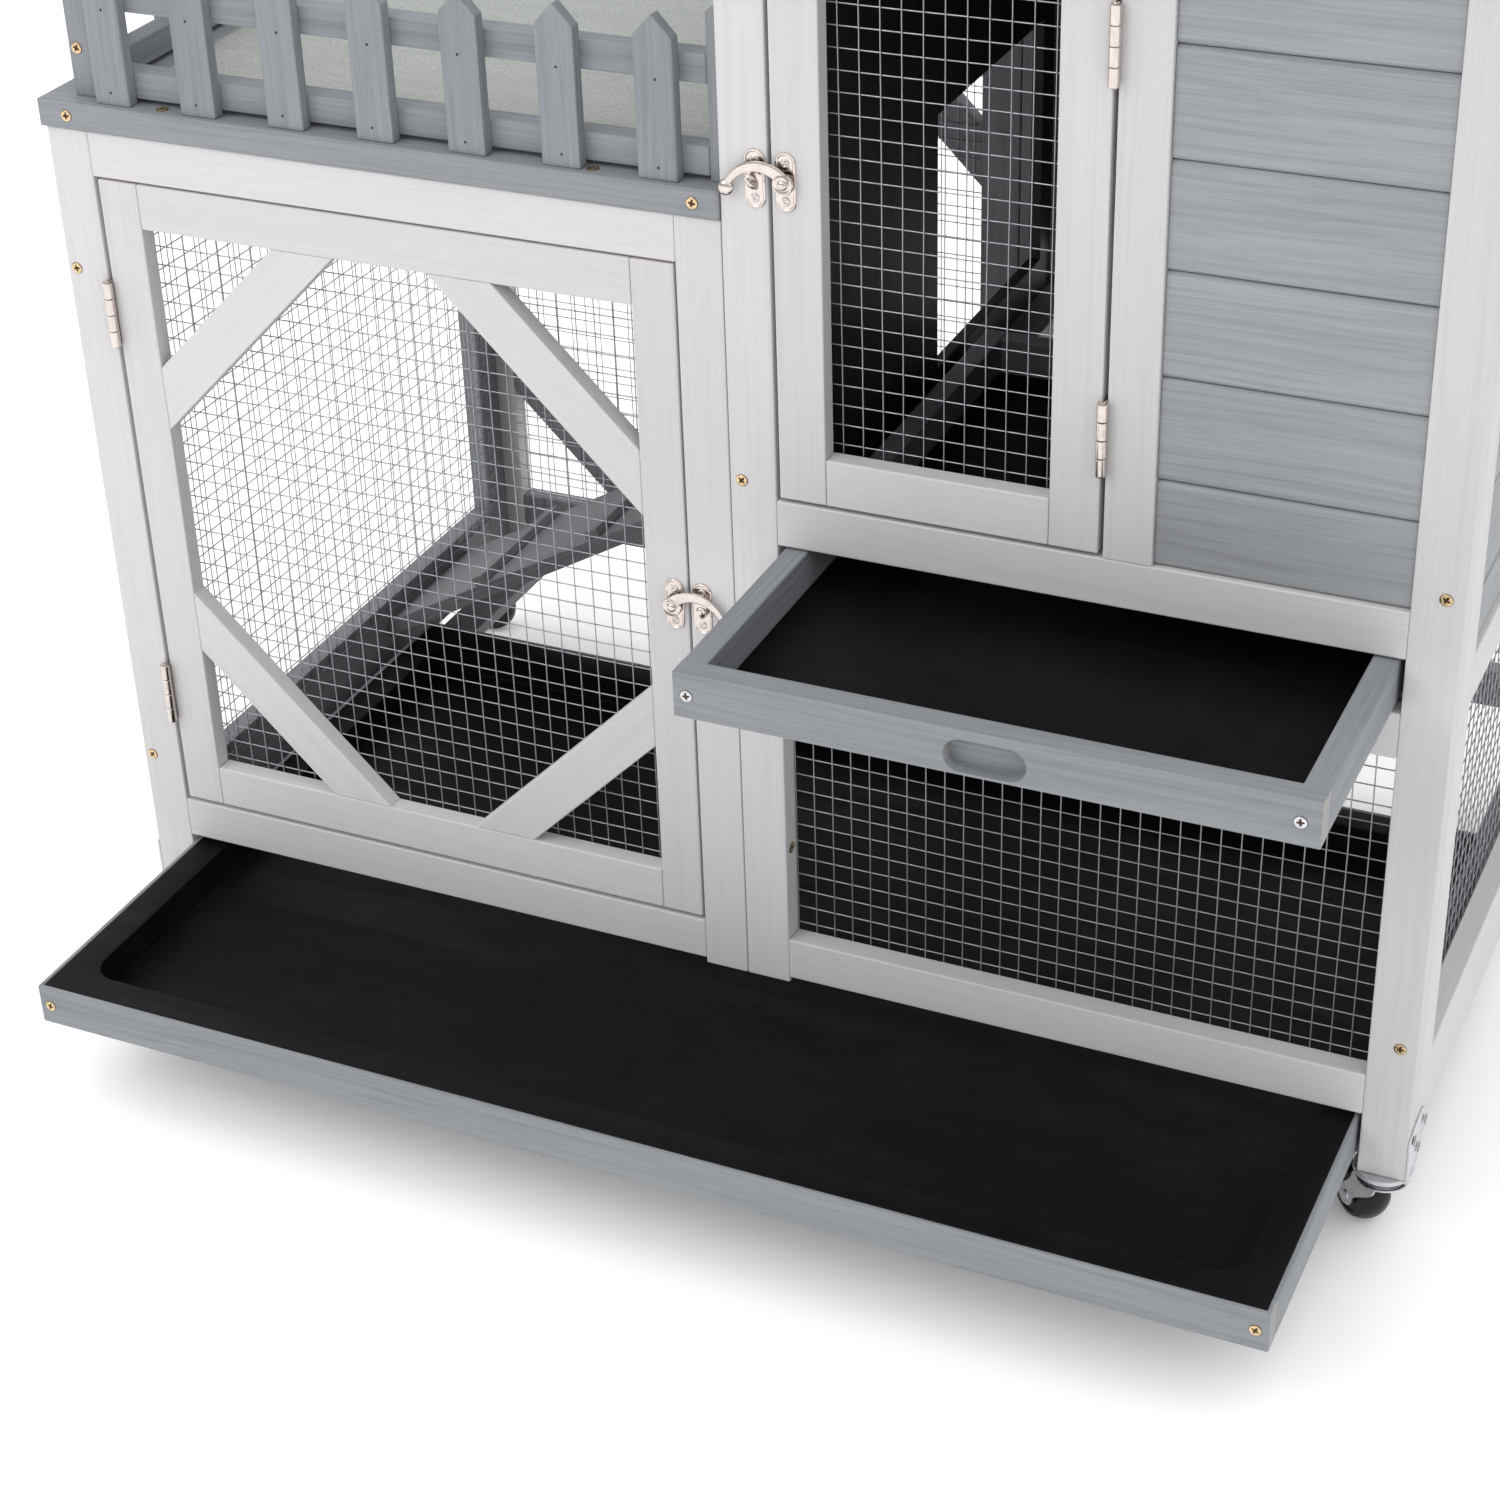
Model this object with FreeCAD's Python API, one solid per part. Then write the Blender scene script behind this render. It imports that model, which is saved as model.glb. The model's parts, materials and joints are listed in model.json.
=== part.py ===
import FreeCAD, Part
import math
import os

# Two-part rabbit hutch on casters: a low mesh run on the left, a tall house on the right, a
# terrace with a picket fence on the run, a ramp inside and two pull-out trays.
# Millimetres. While building, X runs from the left face of the frame to the right, Y from the
# front face to the back and Z up from the floor. At the end everything is moved so that the
# origin is the bottom centre of the whole hutch with both trays pulled out.

V = FreeCAD.Vector
AXIS_X = V(1, 0, 0)
AXIS_Y = V(0, 1, 0)
AXIS_Z = V(0, 0, 1)

# ---- driving dimensions ---------------------------------------------------------------------

WIDTH = 910.0  # frame, left to right
DEPTH = 526.0  # frame, front to back
FOOT = 52.0  # underside of the corner posts, which is the height of a caster
BOARD = 30.0  # face width of posts, stiles and rails
POST_DEEP = 17.0
RAIL_DEEP = 15.0
DOOR_DEEP = 13.0
JOINT = 0.2  # joint line where two timbers of one frame meet

RUN_POST_X = 436.5  # left face of the middle post on the run's side
TOWER_X = 467.0  # left face of the house
STILE = (701.5, 731.0)  # the stile between the house door and the siding
POST_FOOT = 92.0  # underside of the middle posts, above the lower tray

SILL = 96.0  # underside of the bottom rails
RUN_TOP = 621.0  # top of the run's frame
WINDOW_RAIL = 352.0  # underside of the rail over the lower window
MIDDLE_RAIL = 417.0  # underside of the rail over the upper tray
HOUSE_HEAD = 852.0  # underside of the rail over the house door
TOWER_TOP = 884.0  # top of the house frame at the front
ROOF_SLOPE = math.radians(4.8)  # falls towards the back

WIRE = 0.9
WIRE_PITCH = 12.7
WIRE_LAP = 11.0  # how far a mesh reaches behind the timber round its opening

SIDING = 9.0  # board thickness
SIDING_RECESS = 3.0
SIDING_PITCH = 63.0
SIDING_BEVEL = 2.0
SIDING_FIRST = 501.0  # height of the lowest groove that all walls share

SIDE_BOARD = (65.5, 124.0)  # deep bottom board of each side, low and high
SIDE_MIDDLE = (369.0, 402.0)  # middle rail of the right side

DOORWAY_Y = (282.0, 487.0)
DOORWAY_Z = (412.0, 591.0)
WALL = 9.0  # thickness of the partition wall

DECK = 18.0  # thickness of the terrace edge boards
DECK_FRONT = 2.0  # overhang of the terrace at the front and at the left
DECK_LEFT = 3.0
DECK_BOARD = 45.0  # width of the edge boards
FELT = 2.0

PICKET_WIDE = 25.0
PICKET_DEEP = 9.0
PICKET_TALL = 98.0
PICKET_TIP = 13.5
PICKET_PITCH = 62.5
FIRST_PICKET = 51.8  # centre of the first front picket
FRONT_PICKETS = 7
SIDE_PICKETS = 7
FENCE_RAIL = (15.0, 17.5)  # depth and height
FENCE_RAILS = (3.0, 57.5)  # heights of the rails' undersides above the terrace
FENCE_POST_TALL = 100.0
LEFT_FENCE_POST = (17.7, 37.3)
RIGHT_FENCE_POST = 10.4  # width

RUN_DOOR = (33.0, 435.0, 129.0, 589.5)  # left, right, bottom, top
UPPER_DOOR = (499.5, 698.5, 449.5, 850.0)
DOOR_STILE = {"run_door": 28.5, "upper_door": 30.0}
DOOR_RAIL = 30.0
BRACE_OUTER = 95.0  # where a corner brace meets the frame, from the corner
BRACE_INNER = 139.5

LOWER_PULLED = 190.0  # how far each tray stands out at rest
UPPER_PULLED = 158.0
LOWER_TRAY = (31.5, 877.5, 62.0, 91.0)  # left, right, bottom, top
LOWER_TRAY_LONG = 535.0
UPPER_TRAY = (501.5, 876.5, 386.5, 415.5)
UPPER_TRAY_LONG = 508.0
TRAY_BOARD = 15.0
TRAY_FLOOR = 4.0
TRAY_PLAY = 0.5  # between a tray and its runners
PAN_WALL = 2.0
PAN_RIM = 25.0
PAN_CORNER = 20.0
PAN_LIP = 3.0  # wood left showing round the pan
POCKET = (48.6, 20.5, 9.0)  # finger pocket: length, height, depth
POCKET_DROP = 2.4  # below the middle of the board

HINGE_LONG = 45.0
KNUCKLES = 4
KNUCKLE_R = 3.3
KNUCKLE_SLACK = 0.15  # at each end of a knuckle
KNUCKLE_CLEAR = 0.3  # between a knuckle and the other side's leaf
PIN_R = 1.6
PIN_GAP = 0.06
LEAF = 1.2
LEAF_GAP = 0.6
HINGE_PROUD = 3.8  # a hinge's axis stands this far in front of the door or the back wall
LEAF_DEEP = 12.5
RUN_HINGE_Z = (216.0, 499.0)
UPPER_HINGE_Z = (524.0, 751.0)
ROOF_HINGE_X = (567.0, 810.0)

LATCH_PLATE = (12.4, 35.0, 1.2)  # width, height, thickness
LATCH_Z = {"run": 363.0, "upper": 649.5}
PIVOT_IN = 9.0  # pivot from the door's edge
PLATE_GAP = 18.8  # from the pivot plate to the catch plate
ARM_Y = (-6.2, -3.4)  # depth of the arm in front of the frame
ARM_CENTRE = (15.0, -12.5)  # centre of the arm's bow, towards the catch and up from the pivot
ARM_R = 21.5
ARM_HALF = 2.6
ARM_SWEEP = (138.0, 80.0, 18.0)  # degrees on the bow at the pivot, half way and at the finger end
ARM_EYE_R = 5.4
ARM_FINGER_R = 4.2
ARM_PLAY = 0.2
PIVOT_WASHER_R = 3.0
PIVOT_HEAD = (2.8, 1.0)  # radius, thickness
HOOK = (22.5, 0.5, 2.8)  # the catch's hook: towards the catch, up, radius

CASTER_IN = {"front": (16.0, 12.4), "back": (16.0, 21.0)}  # axis from the side face and end face
CASTER_YAW = {"front_right": 140.0, "front_left": 60.0, "back_left": 205.0, "back_right": 110.0}
CASTER_TRAIL = 18.0
FLANGE_R = 18.6
WHEEL_R = 19.5
WHEEL_WIDE = 22.0
WHEEL_CROWN = 4.5  # the tread's shoulders lie this much deeper than its middle
AXLE_R = 3.0
RUNNING_GAP = 0.06
KINGPIN_R = 4.0
FORK_HEAD = (42.0, 44.0)  # heights of the fork's round head
FORK_R = 17.0
RACEWAY = (44.3, 50.0)
RACEWAY_R = 14.0
KINGPIN_HEAD = (5.5, 1.1)  # radius, thickness
LEG = 2.0
LEG_TOP = (-8.0, 10.0)  # a leg's ends along the fork's head
LEG_FOOT_R = 7.0
LEG_CLEAR = 0.8  # between a leg and the wheel
AXLE_END = 1.0  # an axle stands this far out of the legs
BRACKET = 1.6  # thickness of the leaf up the post's side
BRACKET_FOOT = 18.0  # the leaf's length along the flange
BRACKET_LEAF = (  # outline from the foot: along the post's side, above the post's underside
    (31.0, 4.0),
    (36.0, 12.5),
    (42.0, 14.0),
    (44.5, 20.5),
    (36.0, 33.5),
    (28.0, 37.0),
    (12.0, 34.5),
    (0.0, 32.0),
)

SCREW_R = 3.9
SCREW_HEAD = 0.8
SCREW_CROSS = (2.2, 0.5, 0.5)  # half length, half width and depth of the recess
POST_SCREWS = ((6.7, 526.0), (6.7, 158.4), (474.7, 457.0), (899.2, 459.0), (899.2, 151.2))  # X, Z
POST_SIDE_SCREW_Z = 193.5
DECK_EDGE_SCREWS = (21.0, 16.5)  # from the terrace's left end and right end
DECK_TOP_SCREWS_X = (84.9, 382.5)
FENCE_SCREW = (6.0, 31.0)  # from the corner post's left side, above the terrace
TRAY_SCREW_IN = {"lower": (8.3, 8.3), "upper": (8.3, 11.4)}  # from the front board's ends

CORNERS = ("front_left", "front_right", "back_left", "back_right")
nodes = {}


# ---- helpers --------------------------------------------------------------------------------

def box(x, y, z):
    """A block between the low and high ends of x, y and z."""
    return Part.makeBox(x[1] - x[0], y[1] - y[0], z[1] - z[0], V(x[0], y[0], z[0]))


def span(low, size):
    return (low, low + size)


def cylinder(radius, start, axis, length):
    return Part.makeCylinder(radius, length, start, axis)


def prism(points, direction):
    """A flat outline pushed along a vector."""
    return Part.Face(Part.makePolygon(points + [points[0]])).extrude(direction)


def fuse(shapes):
    return shapes[0].multiFuse(shapes[1:]).removeSplitter()


def inset(pair):
    """Leaves a joint line at both ends."""
    return (pair[0] + JOINT, pair[1] - JOINT)


def mirror_depth(shape):
    """The same shape at the other end of the frame."""
    return shape.mirror(V(0, DEPTH / 2, 0), AXIS_Y)


def roof_height(y):
    return TOWER_TOP - math.tan(ROOF_SLOPE) * y


def below_roof(shape):
    """Cuts a wall timber to the slope of the roof."""
    far = DEPTH + BOARD
    high = TOWER_TOP + DEPTH
    outline = [
        V(-BOARD, -BOARD, roof_height(-BOARD)),
        V(-BOARD, far, roof_height(far)),
        V(-BOARD, far, high),
        V(-BOARD, -BOARD, high),
    ]
    return shape.cut(prism(outline, V(WIDTH + 2 * BOARD, 0, 0)))


def add(name, *shapes):
    nodes[name] = list(shapes)


def wires(low, high, centre, size):
    """Starts of evenly spaced wires between low and high, with the pitch centred on the panel."""
    count = int((high - low - size) / WIRE_PITCH)
    first = centre - count * WIRE_PITCH / 2 - size / 2
    return [first + i * WIRE_PITCH for i in range(count + 1)]


def mesh(across, z, layer, along_y=False):
    """Welded mesh in two layers: upright wires, and level wires against them.

    across is the panel's extent in X, or in Y when along_y is set. layer is where the first
    layer starts and the side, 1 or -1, on which the second one lies."""
    start, side = layer
    upright = span(start, WIRE)
    level = span(start + side * WIRE, WIRE)
    made = []
    for a in wires(across[0], across[1], sum(across) / 2, WIRE):
        place = span(a, WIRE)
        made.append(box(upright, place, z) if along_y else box(place, upright, z))
    for c in wires(z[0], z[1], sum(z) / 2, WIRE):
        place = span(c, WIRE)
        made.append(box(level, across, place) if along_y else box(across, level, place))
    return made


def lap(opening):
    return (opening[0] - WIRE_LAP, opening[1] + WIRE_LAP)


def screw_head(centre, outward):
    """A flat screw head with a cross recess, standing on a surface."""
    head = cylinder(SCREW_R, centre, outward, SCREW_HEAD)
    side = V(outward.y, outward.z, outward.x)
    other = outward.cross(side)
    slot_long, slot_wide, slot_deep = SCREW_CROSS
    for a, b in ((side, other), (other, side)):
        corners = [
            centre + a * (slot_long * i) + b * (slot_wide * j) + outward * (SCREW_HEAD - slot_deep)
            for i, j in ((-1, -1), (1, -1), (1, 1), (-1, 1))
        ]
        head = head.cut(prism(corners, outward))
    return head


# ---- frame ----------------------------------------------------------------------------------

def corner_posts():
    right = span(WIDTH - BOARD, BOARD)
    left = span(0, BOARD)
    front = span(0, POST_DEEP)
    add("post_front_left", box(left, front, (FOOT, RUN_TOP)))
    add("post_front_right", below_roof(box(right, front, (FOOT, TOWER_TOP))))
    add("post_back_left", mirror_depth(box(left, front, (FOOT, RUN_TOP))))
    add("post_back_right", below_roof(mirror_depth(box(right, front, (FOOT, TOWER_TOP)))))


def run_post():
    return box(span(RUN_POST_X, BOARD), span(0, POST_DEEP), (POST_FOOT, RUN_TOP))


def tower_post():
    return box(span(TOWER_X, BOARD), span(0, POST_DEEP), (POST_FOOT, TOWER_TOP))


def rail(x, z_low, height=BOARD):
    return box(x, span(0, RAIL_DEEP), span(z_low, height))


RUN_SPAN = (BOARD, RUN_POST_X)
HOUSE_SPAN = (TOWER_X + BOARD, WIDTH - BOARD)


def front_frame():
    add("run_post_front", run_post())
    add("tower_post_front", below_roof(tower_post()))
    add(
        "front_rails",
        rail(RUN_SPAN, SILL),
        rail(RUN_SPAN, RUN_TOP - BOARD),
        rail(HOUSE_SPAN, SILL),
        rail(HOUSE_SPAN, WINDOW_RAIL),
        rail(HOUSE_SPAN, MIDDLE_RAIL),
        below_roof(rail(HOUSE_SPAN, HOUSE_HEAD, TOWER_TOP - HOUSE_HEAD)),
    )
    add("door_stile", box(STILE, span(0, POST_DEEP), (MIDDLE_RAIL + BOARD, HOUSE_HEAD)))


def corner_brace(corner, side, up, y):
    """A flat 45 degree brace in a frame corner; side and up are 1 or -1, into the opening."""
    x, z = corner
    outline = [
        V(x + side * BRACE_OUTER, y[0], z),
        V(x + side * BRACE_INNER, y[0], z),
        V(x, y[0], z + up * BRACE_INNER),
        V(x, y[0], z + up * BRACE_OUTER),
    ]
    return prism(outline, V(0, y[1] - y[0], 0))


def back_frame():
    top_low = roof_height(DEPTH) - BOARD
    run, house = inset(RUN_SPAN), inset(HOUSE_SPAN)
    front_pieces = [
        run_post(),
        tower_post(),
        rail(run, SILL),
        rail(run, RUN_TOP - BOARD),
        rail(house, SILL),
        rail(house, WINDOW_RAIL),
        rail(house, MIDDLE_RAIL),
        rail(house, top_low, TOWER_TOP - top_low),
    ]
    for x, side in ((run[0], 1), (run[1], -1)):
        for height, up in ((SILL + BOARD + JOINT, 1), (RUN_TOP - BOARD - JOINT, -1)):
            front_pieces.append(corner_brace((x, height), side, up, (0, RAIL_DEEP)))
    add("back_frame", *[below_roof(mirror_depth(piece)) for piece in front_pieces])


STILE_FRONT_Y = span(POST_DEEP, BOARD)
STILE_BACK_Y = span(DEPTH - POST_DEEP - BOARD, BOARD)
BETWEEN_STILES = (STILE_FRONT_Y[1], STILE_BACK_Y[0])
BETWEEN_POSTS = (POST_DEEP, DEPTH - POST_DEEP)


def side_frames():
    left = span(0, RAIL_DEEP)
    add(
        "left_side_frame",
        box(left, STILE_FRONT_Y, (FOOT, RUN_TOP)),
        box(left, STILE_BACK_Y, (FOOT, RUN_TOP)),
        box(left, inset(BETWEEN_STILES), SIDE_BOARD),
        box(left, inset(BETWEEN_STILES), span(RUN_TOP - BOARD, BOARD)),
    )
    opening = (SIDE_BOARD[1], RUN_TOP - BOARD)
    add("left_side_mesh", *mesh(lap(BETWEEN_STILES), lap(opening), (RAIL_DEEP, 1), along_y=True))

    right = (WIDTH - RAIL_DEEP, WIDTH)
    top = sloped_rail(right)
    add(
        "right_side_frame",
        below_roof(box(right, STILE_FRONT_Y, (FOOT, TOWER_TOP))),
        below_roof(box(right, STILE_BACK_Y, (FOOT, TOWER_TOP))),
        box(right, inset(BETWEEN_STILES), SIDE_BOARD),
        box(right, inset(BETWEEN_STILES), SIDE_MIDDLE),
        top,
    )
    opening = (SIDE_BOARD[1], SIDE_MIDDLE[0])
    layer = (WIDTH - RAIL_DEEP - WIRE, -1)
    add("right_side_mesh", *mesh(lap(BETWEEN_STILES), lap(opening), layer, along_y=True))


def sloped_rail(x):
    """The rail that carries the roof along a side wall."""
    front, back = inset(BETWEEN_STILES)
    outline = [
        V(x[0], front, roof_height(front) - BOARD),
        V(x[0], back, roof_height(back) - BOARD),
        V(x[0], back, roof_height(back)),
        V(x[0], front, roof_height(front)),
    ]
    return prism(outline, V(x[1] - x[0], 0, 0))


# ---- boarding -------------------------------------------------------------------------------

def board_levels(low, high):
    """Heights of the joints between siding boards, in line all round the house."""
    levels = [low]
    joint = SIDING_FIRST - SIDING_PITCH * math.floor((SIDING_FIRST - low) / SIDING_PITCH)
    while joint < high - SIDING_PITCH / 2:
        if joint > low + SIDING_PITCH / 3:
            levels.append(joint)
        joint += SIDING_PITCH
    return levels + [high]


def siding_board(low, high, length):
    """One board along +X with its outer face at Y = 0 and both outer edges bevelled."""
    b = SIDING_BEVEL
    outline = [
        V(0, b, low),
        V(0, 0, low + b),
        V(0, 0, high - b),
        V(0, b, high),
        V(0, SIDING, high),
        V(0, SIDING, low),
    ]
    return prism(outline, V(length, 0, 0))


def siding(low, high, length, move, turn=0.0):
    boards = []
    levels = board_levels(low, high)
    for bottom, top in zip(levels, levels[1:]):
        board = siding_board(*inset((bottom, top)), length)
        board.rotate(V(0, 0, 0), AXIS_Z, turn)
        board.translate(move)
        boards.append(board)
    return boards


def wall_boards():
    sill = MIDDLE_RAIL + BOARD
    panel = WIDTH - BOARD - STILE[1]
    front = siding(sill, HOUSE_HEAD, panel, V(STILE[1], SIDING_RECESS, 0))
    add("front_siding", *front)

    house = HOUSE_SPAN[1] - HOUSE_SPAN[0]
    high = roof_height(DEPTH) - BOARD
    back = siding(sill, high, house, V(HOUSE_SPAN[1], DEPTH - SIDING_RECESS, 0), 180.0)
    add("back_tower_siding", *back)

    long = BETWEEN_STILES[1] - BETWEEN_STILES[0]
    right = siding(SIDE_MIDDLE[1], TOWER_TOP, long, V(WIDTH - SIDING_RECESS, BETWEEN_STILES[0], 0), 90.0)
    right_top = above_line(BETWEEN_STILES, BOARD)
    wall = BETWEEN_POSTS[1] - BETWEEN_POSTS[0]
    left = siding(RUN_TOP, TOWER_TOP, wall, V(TOWER_X + SIDING_RECESS, BETWEEN_POSTS[1], 0), -90.0)
    boards = [board.cut(right_top) for board in right] + [below_roof(board) for board in left]
    add("side_siding", *[board for board in boards if board.Volume > 1.0])


def above_line(y, drop):
    """Everything above a line parallel to the roof and lower by drop, between two ends in Y."""
    high = TOWER_TOP + BOARD
    outline = [
        V(-BOARD, y[0], roof_height(y[0]) - drop),
        V(-BOARD, y[1], roof_height(y[1]) - drop),
        V(-BOARD, y[1], high),
        V(-BOARD, y[0], high),
    ]
    return prism(outline, V(WIDTH + 2 * BOARD, 0, 0))


def partition():
    side = span(TOWER_X, RAIL_DEEP)
    add(
        "tower_left_frame",
        box(side, BETWEEN_POSTS, span(WINDOW_RAIL, BOARD)),
        box(side, BETWEEN_POSTS, span(RUN_TOP - BOARD, BOARD)),
    )
    wall = box(span(TOWER_X + RAIL_DEEP, WALL), BETWEEN_POSTS, (WINDOW_RAIL, TOWER_TOP))
    doorway = box((TOWER_X, TOWER_X + BOARD), DOORWAY_Y, DOORWAY_Z)
    add("tower_left_wall", below_roof(wall).cut(doorway))


def meshes():
    behind_front = (RAIL_DEEP, 1)
    behind_back = (DEPTH - RAIL_DEEP - WIRE, -1)
    run = (SILL + BOARD, RUN_TOP - BOARD)
    room = (SILL + BOARD, WINDOW_RAIL)
    add("back_run_mesh", *mesh(RUN_SPAN, lap(run), behind_back))
    add("back_tower_mesh", *mesh(HOUSE_SPAN, lap(room), behind_back))
    add("lower_window_mesh", *mesh(HOUSE_SPAN, lap(room), behind_front))


def runners():
    lower_z = (FOOT, LOWER_TRAY[2] - TRAY_PLAY)
    upper_z = (UPPER_TRAY[2] - BOARD, UPPER_TRAY[2] - TRAY_PLAY)
    right_wall = WIDTH - RAIL_DEEP - 2 * WIRE
    wall_face = TOWER_X + RAIL_DEEP + WALL
    add(
        "tray_runners",
        box(span(RAIL_DEEP, BOARD), BETWEEN_POSTS, lower_z),
        box((WIDTH - RAIL_DEEP - BOARD, WIDTH - RAIL_DEEP), BETWEEN_POSTS, lower_z),
        box((wall_face, UPPER_TRAY[0] + TRAY_BOARD), BETWEEN_POSTS, upper_z),
        box((UPPER_TRAY[1] - TRAY_BOARD, right_wall), BETWEEN_POSTS, upper_z),
    )


# ---- ramp -----------------------------------------------------------------------------------

RAMP_Y = (306.0, 435.0)
RAMP_HIGH = 368.0  # walking face where the ramp meets the house
RAMP_ANGLE = math.radians(30.0)
RAMP_THICK = 12.0
CLEAT = (12.0, 7.0)
CLEAT_PITCH = 117.0
CLEAT_FIRST = 96.0  # from the lower end
CLEAT_IN = 1.0  # cleats are this much shorter than the ramp at each side


def ramp():
    """A board from the left side up to the house's doorway, with cleats across it."""
    low_x, high_x = RAIL_DEEP, TOWER_X
    slope = math.tan(RAMP_ANGLE)
    drop = (high_x - low_x) * slope
    thick = RAMP_THICK / math.cos(RAMP_ANGLE)
    outline = [
        V(low_x, RAMP_Y[0], RAMP_HIGH - drop),
        V(high_x, RAMP_Y[0], RAMP_HIGH),
        V(high_x, RAMP_Y[0], RAMP_HIGH - thick),
        V(low_x, RAMP_Y[0], RAMP_HIGH - drop - thick),
    ]
    pieces = [prism(outline, V(0, RAMP_Y[1] - RAMP_Y[0], 0))]
    long = (high_x - low_x) / math.cos(RAMP_ANGLE)
    across = (RAMP_Y[0] + CLEAT_IN, RAMP_Y[1] - CLEAT_IN)
    along = CLEAT_FIRST
    while along < long - CLEAT[0]:
        cleat = box(span(along, CLEAT[0]), across, (0, CLEAT[1]))
        cleat.rotate(V(0, 0, 0), AXIS_Y, -math.degrees(RAMP_ANGLE))
        cleat.translate(V(low_x, 0, RAMP_HIGH - drop))
        pieces.append(cleat)
        along += CLEAT_PITCH
    add("ramp", *pieces)


# ---- terrace and fence ----------------------------------------------------------------------

DECK_Z = (RUN_TOP, RUN_TOP + DECK)
DECK_X = (-DECK_LEFT, TOWER_X - 0.5)
DECK_Y = (-DECK_FRONT, DEPTH)


def terrace():
    x0, x1 = DECK_X
    y0, y1 = DECK_Y
    inner_x = (x0 + DECK_BOARD, x1)
    inner_y = (y0 + DECK_BOARD, y1 - DECK_BOARD)
    panel_z = (DECK_Z[1] - 11.0, DECK_Z[1] - FELT)
    panel_x = (inner_x[0] + JOINT, x1)
    add(
        "deck_boards",
        box(DECK_X, (y0, inner_y[0]), DECK_Z),
        box(DECK_X, (inner_y[1], y1), DECK_Z),
        box((x0, inner_x[0]), inset(inner_y), DECK_Z),
        box(panel_x, inset(inner_y), panel_z),
    )
    add("deck_felt", box(panel_x, inset(inner_y), (panel_z[1], DECK_Z[1])))


def picket(centre):
    """A pointed board that stands on Z = 0 with its face at Y = 0."""
    half = PICKET_WIDE / 2
    shoulder = PICKET_TALL - PICKET_TIP
    outline = [
        V(centre - half, 0, 0),
        V(centre + half, 0, 0),
        V(centre + half, 0, shoulder),
        V(centre, 0, PICKET_TALL),
        V(centre - half, 0, shoulder),
    ]
    return prism(outline, V(0, PICKET_DEEP, 0))


FENCE_FRONT_Y = 2.1  # face of the front pickets
FENCE_BACK_Y = DEPTH - 4.0  # face of the back pickets
FRONT_RAIL_Y = span(FENCE_FRONT_Y + PICKET_DEEP, FENCE_RAIL[0])
BACK_RAIL_Y = span(FENCE_BACK_Y - PICKET_DEEP - FENCE_RAIL[0], FENCE_RAIL[0])
SIDE_FENCE_Y = (FRONT_RAIL_Y[1], BACK_RAIL_Y[0])


def fence():
    base = V(0, 0, DECK_Z[1])
    pickets = []
    for i in range(FRONT_PICKETS):
        for face in (FENCE_FRONT_Y, FENCE_BACK_Y - PICKET_DEEP):
            board = picket(FIRST_PICKET + i * PICKET_PITCH)
            board.translate(base + V(0, face, 0))
            pickets.append(board)
    step = (SIDE_FENCE_Y[1] - SIDE_FENCE_Y[0]) / SIDE_PICKETS
    for i in range(SIDE_PICKETS):
        board = picket(0)
        board.rotate(V(0, 0, 0), AXIS_Z, -90.0)
        board.translate(base + V(LEFT_FENCE_POST[0] - PICKET_DEEP, SIDE_FENCE_Y[0] + step * (i + 0.5), 0))
        pickets.append(board)
    add("fence_pickets", *pickets)

    right_post = (DECK_X[1] - RIGHT_FENCE_POST, DECK_X[1])
    post_z = span(DECK_Z[1], FENCE_POST_TALL)
    frame = [box(x, y, post_z) for x in (LEFT_FENCE_POST, right_post) for y in (FRONT_RAIL_Y, BACK_RAIL_Y)]
    between = inset((LEFT_FENCE_POST[1], right_post[0]))
    for height in FENCE_RAILS:
        z = span(DECK_Z[1] + height, FENCE_RAIL[1])
        frame.append(box(between, FRONT_RAIL_Y, z))
        frame.append(box(between, BACK_RAIL_Y, z))
        frame.append(box(span(LEFT_FENCE_POST[0], FENCE_RAIL[0]), inset(SIDE_FENCE_Y), z))
    add("fence_frame", *frame)


# ---- doors ----------------------------------------------------------------------------------

def door_timbers(door, stile):
    left, right, bottom, top = door
    y = span(0, DOOR_DEEP)
    inner = (left + stile, right - stile)
    return [
        box((left, inner[0]), y, (bottom, top)),
        box((inner[1], right), y, (bottom, top)),
        box(inset(inner), y, span(bottom, DOOR_RAIL)),
        box(inset(inner), y, (top - DOOR_RAIL, top)),
    ]


def door_opening(door, stile):
    left, right, bottom, top = door
    return (left + stile, right - stile), (bottom + DOOR_RAIL, top - DOOR_RAIL)


def doors():
    for name, door in (("run_door", RUN_DOOR), ("upper_door", UPPER_DOOR)):
        stile = DOOR_STILE[name]
        across, z = door_opening(door, stile)
        add(name + "_frame", *door_timbers(door, stile))
        add(name + "_mesh", *mesh(lap(across), lap(z), (DOOR_DEEP, 1)))
    across, z = door_opening(RUN_DOOR, DOOR_STILE["run_door"])
    braces = [
        corner_brace((x, height), side, up, span(0, DOOR_DEEP))
        for x, side in ((across[0], 1), (across[1], -1))
        for height, up in ((z[0], 1), (z[1], -1))
    ]
    add("run_door_braces", *braces)


# ---- hinges ---------------------------------------------------------------------------------

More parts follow.
